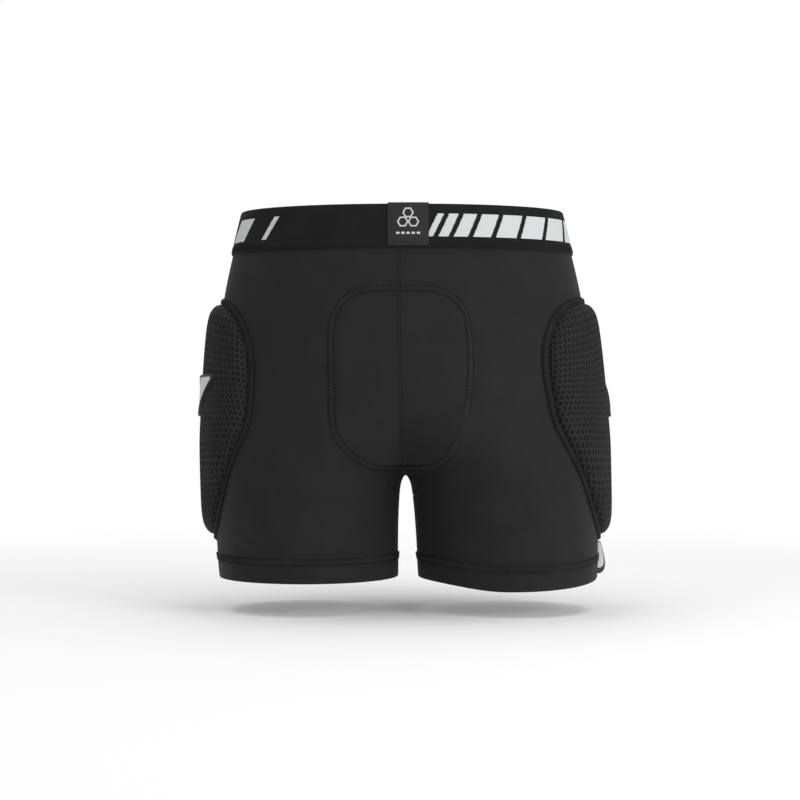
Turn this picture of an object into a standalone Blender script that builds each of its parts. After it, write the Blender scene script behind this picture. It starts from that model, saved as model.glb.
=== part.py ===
"""Padded hip protection shorts, in their worn form.

Lengths are in metres. +Z is up, the wearer faces -Y, and +X is the wearer's left. The origin is
the middle of the waistband.

Every piece is laid on one body surface. Its level sections are ellipses: one round the waist, whose
centre moves outward further down until it is a ring round each thigh. Above the crotch the two
halves meet at the centre seam, below it they are two legs with a gap between them.
"""

import math
from collections import namedtuple

import bmesh
import bpy
import numpy as np

# Body of the shorts
LENGTH = 0.3443
RISE = 0.249
HIP_HALF_WIDTH = 0.1815
SEAT_DEPTH = 0.122
FRONT_DEPTH = 0.106
SEAT_RISE = 0.120
LEG_GAP = 0.0195
CROTCH_ARCH = 0.006
HEM_SWAY = 0.006
HEM_DIP = 0.0085
SWAY_POWER = 1.6
DIP_POWER = 3

# Cloth
FABRIC = 0.0012
HEM_WALL = 0.0021
HEM_HEIGHT = 0.023
CLEARANCE = 0.0003
LAID_CLEARANCE = 0.0008

# Waistband and label
BAND_HEIGHT = 0.0405
BAND_LAP = 0.009
BAND_LAP_WALL = 0.0012
LABEL_WIDTH = 0.0368
LABEL_SHIFT = -0.0077
LABEL_WALL = 0.0008
LABEL_DROP = 0.0385
LABEL_INSIDE = 0.014

# Gusset
GUSSET_WIDTH = 0.036
GUSSET_END_RISE = 0.007
GUSSET_SIDE_DROP = 0.020
GUSSET_CLEARANCE = 0.0006
GUSSET_BOW = 2.2

# Seat pad
SEAT_PAD_TOP = 0.075
SEAT_PAD_SEAM_GAP = 0.0115
SEAT_PAD_HALF_WIDTH = 0.066
SEAT_PAD_WALL = 0.0045
SEAT_PAD_EDGE = 0.0012
SEAT_PAD_CLEARANCE = 0.00095
SEAT_PAD_POWER = 4

# Hip pads
PAD_TOP = 0.0815
PAD_TAB_GAP = 0.001
PAD_WIDTH = 0.196
PAD_SHIFT = {"left": -0.0015, "right": 0.001}
PAD_TILT = {"left": -0.0015, "right": 0.0085}
PAD_THICKNESS = 0.0102
PAD_EDGE = 0.0014
PAD_CROWN_POWER = 14
PAD_CROWN_SOFTNESS = 0.6
BORDER_WIDTH = 0.0060
BORDER_WALL = 0.0014

# Hip badges and hem tab
BADGE_LENGTH = 0.046
BADGE_HEIGHT = 0.039
BADGE_LEAN = math.radians(47.7)
BADGE_WALL = 0.0018
BADGE_DROP = 0.1745
BADGE_SHIFT = {"left": 0.0115, "right": -0.0225}
TAB_HEIGHT = 0.0303
TAB_REACH = 0.0070
TAB_WALL = 0.0016
TAB_RISE = 0.0025
TAB_LEAN = math.radians(15)

# Mesh density
GIRTH_STEPS = 32
SEAM_STEPS = 2
SEAT_ROWS = 12
GUSSET_STEPS = 4
LEG_ROWS = 4
BAND_STEPS = 64
PAD_STEPS = 36
BADGE_STEPS = 24
LABEL_COLUMNS = 6
ROW_GROWTH = 1.9
SEAT_PAD_RINGS = (0.0, 0.3, 0.6, 0.85, 1.0)
PAD_RINGS = (0.0, 0.25, 0.5, 0.72, 0.86, 0.94, 0.985, 1.0)
BADGE_RINGS = (0.0, 0.33, 0.67, 1.0)
SHARP_ANGLE = math.radians(40)

# Fineness of the sums
OUTLINE_SAMPLES = 40
SADDLE_SAMPLES = 4000
SADDLE_PASSES = 12
NORMAL_STEP = 1e-5
BELT_STEP = 1e-4

BAND_TOP = BAND_HEIGHT / 2
BAND_BOTTOM = -BAND_HEIGHT / 2
BAND_PROUD = CLEARANCE + BAND_LAP_WALL
FABRIC_TOP = BAND_BOTTOM + BAND_LAP - CLEARANCE
HEM = BAND_TOP - LENGTH
CROTCH = BAND_TOP - RISE
INSEAM = LENGTH - RISE
GUSSET_END = CROTCH + GUSSET_END_RISE
GUSSET_LOW = CROTCH - GUSSET_SIDE_DROP
SIDE_DEPTH = (SEAT_DEPTH + FRONT_DEPTH) / 2
SEAT_PAD_HEIGHT = RISE - GUSSET_END_RISE - SEAT_PAD_TOP - SEAT_PAD_SEAM_GAP
PAD_HEIGHT = LENGTH - PAD_TOP - PAD_TAB_GAP - TAB_HEIGHT - TAB_RISE
SIDES = {"left": 1, "right": -1}

# Sections of the body: share of the length down from the band's top, then shares of the hip's half
# width, the seat depth and the front depth.
Section = namedtuple("Section", "down wide back front")
BODY = (
    Section(0.000, 0.832, 0.820, 0.930),
    Section(0.119, 0.886, 0.877, 0.960),
    Section(0.236, 0.933, 0.930, 0.985),
    Section(0.353, 0.962, 0.978, 1.000),
    Section(0.500, 0.985, 1.000, 0.990),
    Section(0.647, 1.000, 0.970, 0.965),
    Section(0.794, 0.999, 0.895, 0.925),
    Section(0.926, 0.993, 0.830, 0.895),
    Section(1.000, 0.984, 0.812, 0.885),
)

# Above the crotch: share of the seat rise, and how far the thigh's ring would reach past the centre
# line, as a share of the half width.
Overlap = namedtuple("Overlap", "up past")
SEAT = (
    Overlap(0.00, 0.000),
    Overlap(0.02, 0.003),
    Overlap(0.05, 0.013),
    Overlap(0.10, 0.046),
    Overlap(0.20, 0.145),
    Overlap(0.35, 0.330),
    Overlap(0.55, 0.580),
    Overlap(0.75, 0.800),
    Overlap(0.90, 0.940),
    Overlap(1.00, 1.000),
)

# Below the crotch: share of the inseam, and how open the gap is as a share of its width at the hem.
Spread = namedtuple("Spread", "down open")
LEGS = (
    Spread(0.00, 0.00),
    Spread(0.10, 0.33),
    Spread(0.23, 0.52),
    Spread(0.47, 0.73),
    Spread(1.00, 1.00),
)

# Half outlines, from the top round the back to the bottom: share down, share of the half width.
Edge = namedtuple("Edge", "down across")
PAD_OUTLINE = (
    Edge(0.000, 0.00),
    Edge(0.018, 0.40),
    Edge(0.070, 0.64),
    Edge(0.155, 0.78),
    Edge(0.270, 0.872),
    Edge(0.400, 0.945),
    Edge(0.530, 1.00),
    Edge(0.660, 0.92),
    Edge(0.770, 0.765),
    Edge(0.870, 0.59),
    Edge(0.955, 0.37),
    Edge(1.000, 0.00),
)
SEAT_PAD_OUTLINE = (
    Edge(0.000, 0.00),
    Edge(0.005, 0.45),
    Edge(0.060, 0.78),
    Edge(0.180, 0.96),
    Edge(0.380, 1.00),
    Edge(0.620, 0.98),
    Edge(0.800, 0.90),
    Edge(0.930, 0.66),
    Edge(0.985, 0.36),
    Edge(1.000, 0.00),
)
BADGE_OUTLINE = (
    Edge(0.00, 0.00),
    Edge(0.00, 0.70),
    Edge(0.08, 0.95),
    Edge(0.35, 1.00),
    Edge(0.65, 1.00),
    Edge(0.92, 0.95),
    Edge(1.00, 0.70),
    Edge(1.00, 0.00),
)

# Outline of the hem tab: shares of its reach out from the leg and of its height.
Tip = namedtuple("Tip", "out up")
TAB_OUTLINE = (
    Tip(0.00, 0.00),
    Tip(0.70, 0.06),
    Tip(1.00, 0.26),
    Tip(0.92, 0.45),
    Tip(0.30, 1.00),
    Tip(0.00, 1.00),
)

Finish = namedtuple("Finish", "colour roughness")
FINISHES = {
    "shell_fabric": Finish((0.020, 0.020, 0.021), 0.85),
    "band_elastic": Finish((0.011, 0.011, 0.012), 0.80),
    "label_weave": Finish((0.032, 0.032, 0.033), 0.75),
    "pad_mesh": Finish((0.030, 0.030, 0.031), 0.80),
    "pad_binding": Finish((0.016, 0.016, 0.017), 0.80),
    "seat_foam": Finish((0.028, 0.028, 0.029), 0.90),
    "badge_rubber": Finish((0.640, 0.640, 0.620), 0.50),
    "tab_weave": Finish((0.700, 0.700, 0.690), 0.70),
}


def column(rows, name):
    """One named column of a table, as an array."""
    return np.array([getattr(row, name) for row in rows], float)


def smooth(x, xs, ys):
    """Monotone cubic curve through a table's points, flat where the table turns back."""
    step = np.diff(xs)
    rise = np.diff(ys) / step
    slope = np.zeros(len(xs))
    slope[0], slope[-1] = rise[0], rise[-1]
    ahead = 2 * step[1:] + step[:-1]
    behind = step[1:] + 2 * step[:-1]
    same = rise[1:] * rise[:-1] > 0
    left = np.where(same, rise[:-1], 1.0)
    right = np.where(same, rise[1:], 1.0)
    slope[1:-1] = np.where(same, (ahead + behind) / (ahead / left + behind / right), 0.0)
    x = np.clip(x, xs[0], xs[-1])
    i = np.clip(np.searchsorted(xs, x, side="right") - 1, 0, len(step) - 1)
    t = (x - xs[i]) / step[i]
    start = ys[i] * (1 + 2 * t) * (1 - t) ** 2 + slope[i] * step[i] * t * (1 - t) ** 2
    return start + ys[i + 1] * t * t * (3 - 2 * t) + slope[i + 1] * step[i] * t * t * (t - 1)


def read_table(rows, share, name, where):
    """A named column of a table at the given shares."""
    return smooth(where, column(rows, share), column(rows, name))


def body(z):
    """Half width, depth behind and depth in front of the body at height z."""
    down = (BAND_TOP - np.asarray(z, float)) / LENGTH
    wide = HIP_HALF_WIDTH * read_table(BODY, "down", "wide", down)
    back = SEAT_DEPTH * read_table(BODY, "down", "back", down)
    front = FRONT_DEPTH * read_table(BODY, "down", "front", down)
    return wide, back, front


def flatten(x):
    """Distance from the centre plane, rounded off within the crotch arch."""
    return np.sqrt(x * x + CROTCH_ARCH ** 2) - CROTCH_ARCH


def unflatten(flat):
    """The inverse of flatten."""
    flat = np.maximum(flat, 0.0)
    return np.sqrt(flat * (flat + 2 * CROTCH_ARCH))


def ring(z):
    """Centre and radius, in flattened distance, of the ellipse at height z."""
    z = np.asarray(z, float)
    outer = flatten(body(z)[0])
    past = outer * read_table(SEAT, "up", "past", (z - CROTCH) / SEAT_RISE)
    gap = flatten(LEG_GAP / 2) * read_table(LEGS, "down", "open", (CROTCH - z) / INSEAM)
    inner = np.where(z > CROTCH, -past, gap)
    return (outer + inner) / 2, (outer - inner) / 2


def around(angle, z):
    """Point of the left half at an angle round its ellipse: 0 inside, a quarter behind, pi at the side."""
    centre, radius = ring(z)
    _, back, front = body(z)
    x = unflatten(centre - radius * np.cos(angle))
    y = np.where(np.sin(angle) > 0, back, front) * np.sin(angle)
    return np.stack(np.broadcast_arrays(x, y, z), axis=-1)


def across(x, z, behind=True):
    """Point of the back or the front at a distance x from the centre plane."""
    centre, radius = ring(z)
    _, back, front = body(z)
    share = np.clip((flatten(x) - centre) / radius, -1.0, 1.0)
    depth = np.where(behind, back, -front) * np.sqrt(1.0 - share * share)
    return np.stack(np.broadcast_arrays(x, depth, z), axis=-1)


def lifted(place, u, v, height):
    """Point of a surface function moved along its outward normal."""
    along = place(u + NORMAL_STEP, v) - place(u - NORMAL_STEP, v)
    up = place(u, v + NORMAL_STEP) - place(u, v - NORMAL_STEP)
    normal = np.cross(along, up)
    normal /= np.linalg.norm(normal, axis=-1, keepdims=True)
    point = place(u, v)
    outward = np.sum(normal * point * (1, 1, 0), axis=-1, keepdims=True)
    return point + np.sign(outward) * normal * np.asarray(height)[..., None]


def lean(points):
    """The worn stance: the legs drift to the wearer's right, and that hem dips behind."""
    points = np.array(points, float)
    share = np.clip((BAND_TOP - points[..., 2]) / LENGTH, 0.0, 1.0)
    right = np.clip(-2 * points[..., 0] / HIP_HALF_WIDTH, 0.0, 1.0)
    dip = right * right * (3 - 2 * right) * share ** DIP_POWER * points[..., 1] / SEAT_DEPTH
    points[..., 2] -= HEM_DIP * dip
    points[..., 0] -= HEM_SWAY * share ** SWAY_POWER
    return points


def make_material(name):
    """Principled material of a named finish."""
    if name in bpy.data.materials:
        return bpy.data.materials[name]
    material = bpy.data.materials.new(name)
    material.use_nodes = True
    shader = material.node_tree.nodes["Principled BSDF"]
    shader.inputs["Base Color"].default_value = (*FINISHES[name].colour, 1.0)
    shader.inputs["Roughness"].default_value = FINISHES[name].roughness
    return material


def make_object(name, points, faces, finish, closed=True):
    """Object of one piece, shaded smooth. A closed body's faces are turned outward."""
    mesh = bpy.data.meshes.new(name)
    mesh.from_pydata(lean(points).tolist(), [], faces)
    work = bmesh.new()
    work.from_mesh(mesh)
    bmesh.ops.triangulate(work, faces=work.faces[:], quad_method="SHORT_EDGE")
    if closed:
        bmesh.ops.recalc_face_normals(work, faces=work.faces[:])
    work.to_mesh(mesh)
    work.free()
    mesh.materials.append(make_material(finish))
    mesh.shade_smooth()
    mesh.set_sharp_from_angle(angle=SHARP_ANGLE)
    piece = bpy.data.objects.new(name, mesh)
    bpy.context.scene.collection.objects.link(piece)
    return piece


def walled(outside, inside, faces):
    """Closed body from a sheet's two sides: both sides, and a strip along every open edge."""
    count = len(outside)
    edges = {}
    for face in faces:
        for a, b in zip(face, face[1:] + face[:1]):
            edges[(a, b)] = edges.get((a, b), 0) + 1
    rim = [(b, a, a + count, b + count) for a, b in edges if (b, a) not in edges]
    back = [tuple(count + i for i in reversed(face)) for face in faces]
    return np.concatenate([outside, inside]), list(faces) + back + rim


def grid_faces(rows, columns):
    """Faces of a grid of points, in rows."""
    return [
        (i * columns + j, i * columns + j + 1, (i + 1) * columns + j + 1, (i + 1) * columns + j)
        for i in range(rows - 1)
        for j in range(columns - 1)
    ]


def closed_outline(edges, steps):
    """Closed smooth outline through a half outline and its mirror image, evenly spaced.

    Returns shares across and up, each from -1 to 1, as two arrays.
    """
    half = [(edge.across, 1 - 2 * edge.down) for edge in edges]
    knots = np.array(half + [(-a, u) for a, u in reversed(half[1:-1])])
    t = np.linspace(0, len(knots), OUTLINE_SAMPLES * len(knots), endpoint=False)
    i = t.astype(int)
    t = (t - i)[:, None]
    p0, p1, p2, p3 = (knots[(i + shift) % len(knots)] for shift in (-1, 0, 1, 2))
    curve = 0.5 * (2 * p1 + (p2 - p0) * t + (2 * p0 - 5 * p1 + 4 * p2 - p3) * t ** 2
                   + (3 * p1 - p0 - 3 * p2 + p3) * t ** 3)
    length = np.linalg.norm(np.roll(curve, -1, axis=0) - curve, axis=1)
    travelled = np.concatenate([[0], np.cumsum(length)])
    curve = np.concatenate([curve, curve[:1]])
    even = np.linspace(0, travelled[-1], steps, endpoint=False)
    return np.interp(even, travelled, curve[:, 0]), np.interp(even, travelled, curve[:, 1])


def disc_faces(rings, steps):
    """Faces of a disc: point 0 in the middle, then rings of points."""
    faces = [(0, 1 + j, 1 + (j + 1) % steps) for j in range(steps)]
    for i in range(rings - 1):
        for j in range(steps):
            a, b = 1 + i * steps + j, 1 + i * steps + (j + 1) % steps
            faces.append((a, a + steps, b + steps, b))
    return faces


def disc_shares(outline, shares):
    """Points of a disc with the given outline, at shares of the way out."""
    rows = [np.zeros((1, 2))] + [np.stack(outline, axis=1) * share for share in shares[1:]]
    reach = [np.zeros(1)] + [np.full(len(outline[0]), share) for share in shares[1:]]
    return np.concatenate(rows), np.concatenate(reach)


def gusset_corner(behind):
    """How far back or forward the gusset's outer corners lie."""
    return abs(float(across(GUSSET_WIDTH / 2, GUSSET_END, behind)[1]))


def gusset_edge_height(t):
    """Height of the gusset's side edge, t from its middle (0) to its end (1)."""
    return GUSSET_LOW + (GUSSET_END - GUSSET_LOW) * np.abs(t) ** GUSSET_BOW


def panel_rows():
    """Heights of a panel's rows from the hem up, with the gusset share t where one applies."""
    hem_step = HEM + HEM_HEIGHT
    leg = np.linspace(hem_step, GUSSET_LOW, LEG_ROWS + 1)
    t = np.linspace(0, 1, GUSSET_STEPS + 1)[1:]
    up = (np.arange(1, SEAT_ROWS + 1) / SEAT_ROWS) ** ROW_GROWTH
    heights = [HEM, hem_step - CLEARANCE, *leg, *gusset_edge_height(t)]
    heights += list(GUSSET_END + (FABRIC_TOP - GUSSET_END) * up)
    return np.array(heights), 2 + LEG_ROWS, 2 + LEG_ROWS + GUSSET_STEPS


def row_angles(z, narrow):
    """Angles round the thigh at which a panel's row starts behind and ends in front.

    A narrow row ends at the gusset's side edge, the others where the gusset's end would be.
    """
    if narrow:
        low = max(z, GUSSET_LOW) - GUSSET_LOW
        share = (low / (GUSSET_END - GUSSET_LOW)) ** (1 / GUSSET_BOW)
        behind = math.asin(share * gusset_corner(True) / body(z)[1])
        before = math.asin(share * gusset_corner(False) / body(z)[2])
        return behind, 2 * math.pi - before
    centre, radius = ring(z)
    start = math.acos((centre - flatten(GUSSET_WIDTH / 2)) / radius)
    return start, 2 * math.pi - start


def panel_row(z, narrow, closed):
    """Points of one row of the left panel, from behind round the side to the front."""
    angle = np.linspace(*row_angles(z, narrow), GIRTH_STEPS + 1)
    main = around(angle[:-1] if closed else angle, z)
    if narrow:
        return main
    seam = np.linspace(CLEARANCE / 2, GUSSET_WIDTH / 2, SEAM_STEPS + 1)[:-1]
    return np.concatenate([across(seam, z), main, across(seam[::-1], z, False)])


def panel_faces(rows):
    """Faces between a panel's rows, each given as its first point, its points and whether it is narrow."""
    faces = []
    for (first, count, narrow), (above, above_count, above_narrow) in zip(rows, rows[1:]):
        shift = SEAM_STEPS if narrow and not above_narrow else 0
        spans = GIRTH_STEPS if narrow else above_count - 1
        wrap = above_count if above_narrow else above_count + 1
        for j in range(spans):
            low_next = first + (j + 1) % count
            high_next = above + shift + (j + 1) % wrap
            faces.append((first + j, low_next, high_next, above + shift + j))
    return faces


def make_panel(side, sign):
    """Fabric half of the shorts: half the seat and front, and the leg below them."""
    heights, low_row, end_row = panel_rows()
    points, rows = [], []
    for number, z in enumerate(heights):
        narrow = number < end_row
        row = panel_row(z, narrow, number <= low_row)
        rows.append((sum(len(p) for p in points), len(row), narrow))
        points.append(row)
    faces = panel_faces(rows)
    points = np.concatenate(points) * (sign, 1, 1)
    if sign > 0:
        faces = [face[::-1] for face in faces]
    panel = make_object(f"panel_{side}", points, faces, "shell_fabric", closed=False)
    add_wall(panel, heights, rows)


def add_wall(panel, heights, rows):
    """Cloth thickness on the inside, doubled at the turned-up hem."""
    group = panel.vertex_groups.new(name="wall")
    for (first, count, _), z in zip(rows, heights):
        in_hem = z < HEM + HEM_HEIGHT - CLEARANCE / 2
        group.add(list(range(first, first + count)), 1.0 if in_hem else FABRIC / HEM_WALL, "REPLACE")
    wall = panel.modifiers.new("wall", "SOLIDIFY")
    wall.thickness = HEM_WALL
    wall.offset = -1.0
    wall.vertex_group = group.name
    wall.use_rim = True


def gusset_height(flat, y):
    """Height at which the surface passes a point between the legs, by repeated substitution."""
    z = np.full(np.shape(y), CROTCH)
    heights = np.linspace(HEM, CROTCH + SEAT_RISE / 2, SADDLE_SAMPLES)
    centre, radius = ring(heights)
    reach = radius - centre
    for _ in range(SADDLE_PASSES):
        wide, back, front = body(z)
        outer = flatten(wide)
        depth = np.where(y > 0, back, front)
        bulge = np.sqrt(1 - (y / depth) ** 2)
        middle = (flat + outer * bulge) / (1 + bulge)
        z = np.interp(outer - 2 * middle, reach, heights)
    return z


def make_gusset():
    """Insert between the legs: a saddle over the arch, wider at its ends."""
    trim_t = 1 - 2 * GUSSET_CLEARANCE / gusset_corner(True)
    trim_w = 1 - 2 * GUSSET_CLEARANCE / GUSSET_WIDTH
    t = np.linspace(-1, 1, 2 * GUSSET_STEPS + 1) * trim_t
    w = np.linspace(-1, 1, 2 * GUSSET_STEPS + 1) * trim_w
    t, w = np.meshgrid(t, w)
    edge_z = gusset_edge_height(t)
    centre, radius = ring(edge_z)
    _, back, front = body(edge_z)
    depth = np.where(t > 0, back, front)
    corner = np.where(t > 0, gusset_corner(True), gusset_corner(False))
    edge = centre - radius * np.sqrt(1 - (np.abs(t) * corner / depth) ** 2)
    flat = edge * w * w
    end_centre, end_radius = ring(GUSSET_END)
    _, end_back, end_front = body(GUSSET_END)
    end_depth = np.where(t > 0, end_back, end_front)
    end_share = (end_centre - flatten(GUSSET_WIDTH / 2) * w * w) / end_radius
    y = t * end_depth * np.sqrt(1 - end_share ** 2)
    points = np.stack([np.sign(w) * unflatten(flat), y, gusset_height(flat, y)], axis=-1)
    faces = grid_faces(len(points), len(points[0]))
    insert = make_object("gusset", points.reshape(-1, 3), faces, "shell_fabric", closed=False)
    wall = insert.modifiers.new("wall", "SOLIDIFY")
    wall.thickness = FABRIC
    wall.offset = -1.0


def belt(turn, z, out):
    """Point of the waist at an angle round it, moved outward level: 0 behind, a quarter at the left."""
    wide = body(z)[0]

    def place(at):
        return across(wide * np.sin(at), z, np.cos(at) > 0)

    run = place(turn + BELT_STEP) - place(turn - BELT_STEP)
    normal = np.stack([-run[..., 1], run[..., 0], np.zeros_like(run[..., 0])], axis=-1)
    normal /= np.linalg.norm(normal, axis=-1, keepdims=True)
    point = place(turn)
    facing = np.sign(np.sum(normal * point * (1, 1, 0), axis=-1, keepdims=True))
    return point + facing * normal * out


def make_waistband():
    """Elastic ring whose lower edge laps outside the fabric."""
    lap_top = BAND_BOTTOM + BAND_LAP
    middle = (lap_top + BAND_TOP) / 2
    profile = (
        (BAND_PROUD, BAND_BOTTOM),
        (BAND_PROUD, lap_top),
        (BAND_PROUD, middle),
        (BAND_PROUD, BAND_TOP),
        (-FABRIC, BAND_TOP),
        (-FABRIC, middle),
        (-FABRIC, lap_top),
        (CLEARANCE, lap_top),
        (CLEARANCE, BAND_BOTTOM),
    )
    turn = np.linspace(0, 2 * math.pi, BAND_STEPS, endpoint=False) + math.pi / BAND_STEPS
    points = np.concatenate([belt(turn, np.full(BAND_STEPS, z), out) for out, z in profile])
    faces = []
    for i in range(len(profile)):
        for j in range(BAND_STEPS):
            k = (j + 1) % BAND_STEPS
            above = (i + 1) % len(profile)
            faces.append((i * BAND_STEPS + j, i * BAND_STEPS + k,
                          above * BAND_STEPS + k, above * BAND_STEPS + j))
    make_object("waistband", points, faces, "band_elastic")


def make_label():
    """Woven label folded over the band's top edge at centre back."""
    outside = BAND_PROUD + CLEARANCE
    inside = -FABRIC - CLEARANCE
    top = BAND_TOP + CLEARANCE
    path = (
        (outside, top - LABEL_DROP),
        (outside, top - LABEL_DROP / 2),
        (outside, top),
        (inside, top),
        (inside, top - LABEL_INSIDE),
    )
    x = LABEL_SHIFT + np.linspace(-0.5, 0.5, LABEL_COLUMNS) * LABEL_WIDTH
    near, far = [], []
    for out, z in path:
        turn = np.arcsin(x / body(z)[0])
        grow = LABEL_WALL if out > 0 else -LABEL_WALL
        rise = LABEL_WALL if z == top else 0.0
        near.append(belt(turn, np.full(len(x), z), out))
        far.append(belt(turn, np.full(len(x), z), out + grow) + (0, 0, rise))
    faces = grid_faces(len(path), len(x))
    points, faces = walled(np.concatenate(far), np.concatenate(near), faces)
    make_object("back_label", points, faces, "label_weave")


def make_seat_pad():
    """Thin foam oval inside the seat, thickest in its middle."""
    disc, reach = disc_shares(closed_outline(SEAT_PAD_OUTLINE, PAD_STEPS), SEAT_PAD_RINGS)
    x = disc[:, 0] * SEAT_PAD_HALF_WIDTH
    z = BAND_TOP - SEAT_PAD_TOP - SEAT_PAD_HEIGHT * (1 - disc[:, 1]) / 2
    seat = -FABRIC - SEAT_PAD_CLEARANCE
    wall = SEAT_PAD_EDGE + (SEAT_PAD_WALL - SEAT_PAD_EDGE) * (1 - reach ** SEAT_PAD_POWER)
    faces = disc_faces(len(SEAT_PAD_RINGS) - 1, PAD_STEPS)
    points, faces = walled(lifted(across, x, z, seat + 0 * x), lifted(across, x, z, seat - wall), faces)
    make_object("seat_pad", points, faces, "seat_foam")


def pad_shift(side, up):
    """How far behind the side line the hip pad's middle lies, at a share of its height."""
    return PAD_SHIFT[side] + PAD_TILT[side] * up


def pad_place(spot, side):
    """Angle round the thigh and height of a spot on the hip pad, given as shares across and up."""
    angle = math.pi - (spot[:, 0] * PAD_WIDTH / 2 + pad_shift(side, spot[:, 1])) / SIDE_DEPTH
    return angle, BAND_TOP - PAD_TOP - PAD_HEIGHT * (1 - spot[:, 1]) / 2


def pad_crown(reach):
    """Height of the hip pad's face above its edge, by its share of the way out."""
    return PAD_THICKNESS * (1 - np.clip(reach, 0, 1) ** PAD_CROWN_POWER) ** PAD_CROWN_SOFTNESS


def pad_reach(side, along, z):
    """Share of the way out to the hip pad's edge, at a distance behind the side line and a height."""
    up = 1 - 2 * (BAND_TOP - PAD_TOP - z) / PAD_HEIGHT
    spot = np.stack([(along - pad_shift(side, up)) / (PAD_WIDTH / 2), up], axis=1)
    spot = spot / border_inset(2 * CLEARANCE)
    edge_across, edge_up = closed_outline(PAD_OUTLINE, 4 * PAD_STEPS)
    bearing = np.arctan2(edge_across, edge_up)
    order = np.argsort(bearing)
    radius = np.hypot(edge_across, edge_up)[order]
    edge = np.interp(np.arctan2(spot[:, 0], spot[:, 1]), bearing[order], radius, period=2 * math.pi)
    return np.linalg.norm(spot, axis=1) / edge


def make_border(side, sign):
    """Fabric binding stitched round a hip pad."""
    outline = np.stack(closed_outline(PAD_OUTLINE, PAD_STEPS), axis=1)
    inner = outline * border_inset(0.0)
    spots = np.concatenate([outline, inner])
    angle, z = pad_place(spots, side)
    low = lifted(around, angle, z, np.full(len(z), LAID_CLEARANCE))
    high = lifted(around, angle, z, np.full(len(z), LAID_CLEARANCE + BORDER_WALL))
    faces = [(j, (j + 1) % PAD_STEPS, PAD_STEPS + (j + 1) % PAD_STEPS, PAD_STEPS + j)
             for j in range(PAD_STEPS)]
    points, faces = walled(high, low, faces)
    make_object(f"pad_border_{side}", points * (sign, 1, 1), faces, "pad_binding")


def border_inset(gap):
    """Shares across and up to which the binding's width, and a gap, shrink the pad's outline."""
    return np.array([1 - 2 * (BORDER_WIDTH + gap) / PAD_WIDTH, 1 - 2 * (BORDER_WIDTH + gap) / PAD_HEIGHT])


def make_hip_pad(side, sign):
    """Foam pad over the hip, domed, faced in mesh, inside its binding."""
    disc, reach = disc_shares(closed_outline(PAD_OUTLINE, PAD_STEPS), PAD_RINGS)
    angle, z = pad_place(disc * border_inset(2 * CLEARANCE), side)
    low = lifted(around, angle, z, np.full(len(z), LAID_CLEARANCE))
    high = lifted(around, angle, z, LAID_CLEARANCE + PAD_EDGE + pad_crown(reach))
    points, faces = walled(high, low, disc_faces(len(PAD_RINGS) - 1, PAD_STEPS))
    make_object(f"hip_pad_{side}", points * (sign, 1, 1), faces, "pad_mesh")


def make_badge(side, sign):
    """Raised badge on a hip pad: a slanted bar with round corners, leaning the same way round."""
    disc, _ = disc_shares(closed_outline(BADGE_OUTLINE, BADGE_STEPS), BADGE_RINGS)
    up = disc[:, 1] * BADGE_HEIGHT / 2
    along = disc[:, 0] * BADGE_LENGTH / 2 + sign * math.tan(BADGE_LEAN) * up + BADGE_SHIFT[side]
    z = BAND_TOP - BADGE_DROP + up
    angle = math.pi - along / SIDE_DEPTH
    seat = 2 * LAID_CLEARANCE + PAD_EDGE + pad_crown(pad_reach(side, along, z))
    low = lifted(around, angle, z, seat)
    high = lifted(around, angle, z, seat + BADGE_WALL)
    points, faces = walled(high, low, disc_faces(len(BADGE_RINGS) - 1, BADGE_STEPS))
    make_object(f"hip_badge_{side}", points * (sign, 1, 1), faces, "badge_rubber")


def make_hem_tab():
    """Folded woven tab held in the right leg's side seam, just above the hem edge."""
    z = HEM + TAB_RISE + TAB_HEIGHT * column(TAB_OUTLINE, "up")
    root = lifted(around, np.full(len(z), math.pi), z, np.full(len(z), LAID_CLEARANCE))
    reach = TAB_REACH * column(TAB_OUTLINE, "out")[:, None]
    middle = root + reach * (math.cos(TAB_LEAN), math.sin(TAB_LEAN), 0)
    aside = np.array((-math.sin(TAB_LEAN), math.cos(TAB_LEAN), 0)) * TAB_WALL / 2
    points, faces = walled(middle + aside, middle - aside, [tuple(range(len(z)))])
    make_object("hem_tab", points * (-1, 1, 1), faces, "tab_weave")


def main():
    """Build every piece."""
    for leftover in list(bpy.data.objects):
        bpy.data.objects.remove(leftover, do_unlink=True)
    make_waistband()
    make_label()
    make_gusset()
    make_seat_pad()
    for side, sign in SIDES.items():
        make_panel(side, sign)
        make_border(side, sign)
        make_hip_pad(side, sign)
        make_badge(side, sign)
    make_hem_tab()


main()
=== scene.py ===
"""Padded hip protection shorts in their worn form: the looks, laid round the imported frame.

Lengths are in metres, +Z is up, the wearer faces -Y and +X is the wearer's left. The body surface
repeats the part's own formulas, so that every piece of cloth lies where its solid does.
"""

import logging
import math
from dataclasses import dataclass
from enum import Enum
from typing import Callable, NamedTuple, Sequence

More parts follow.
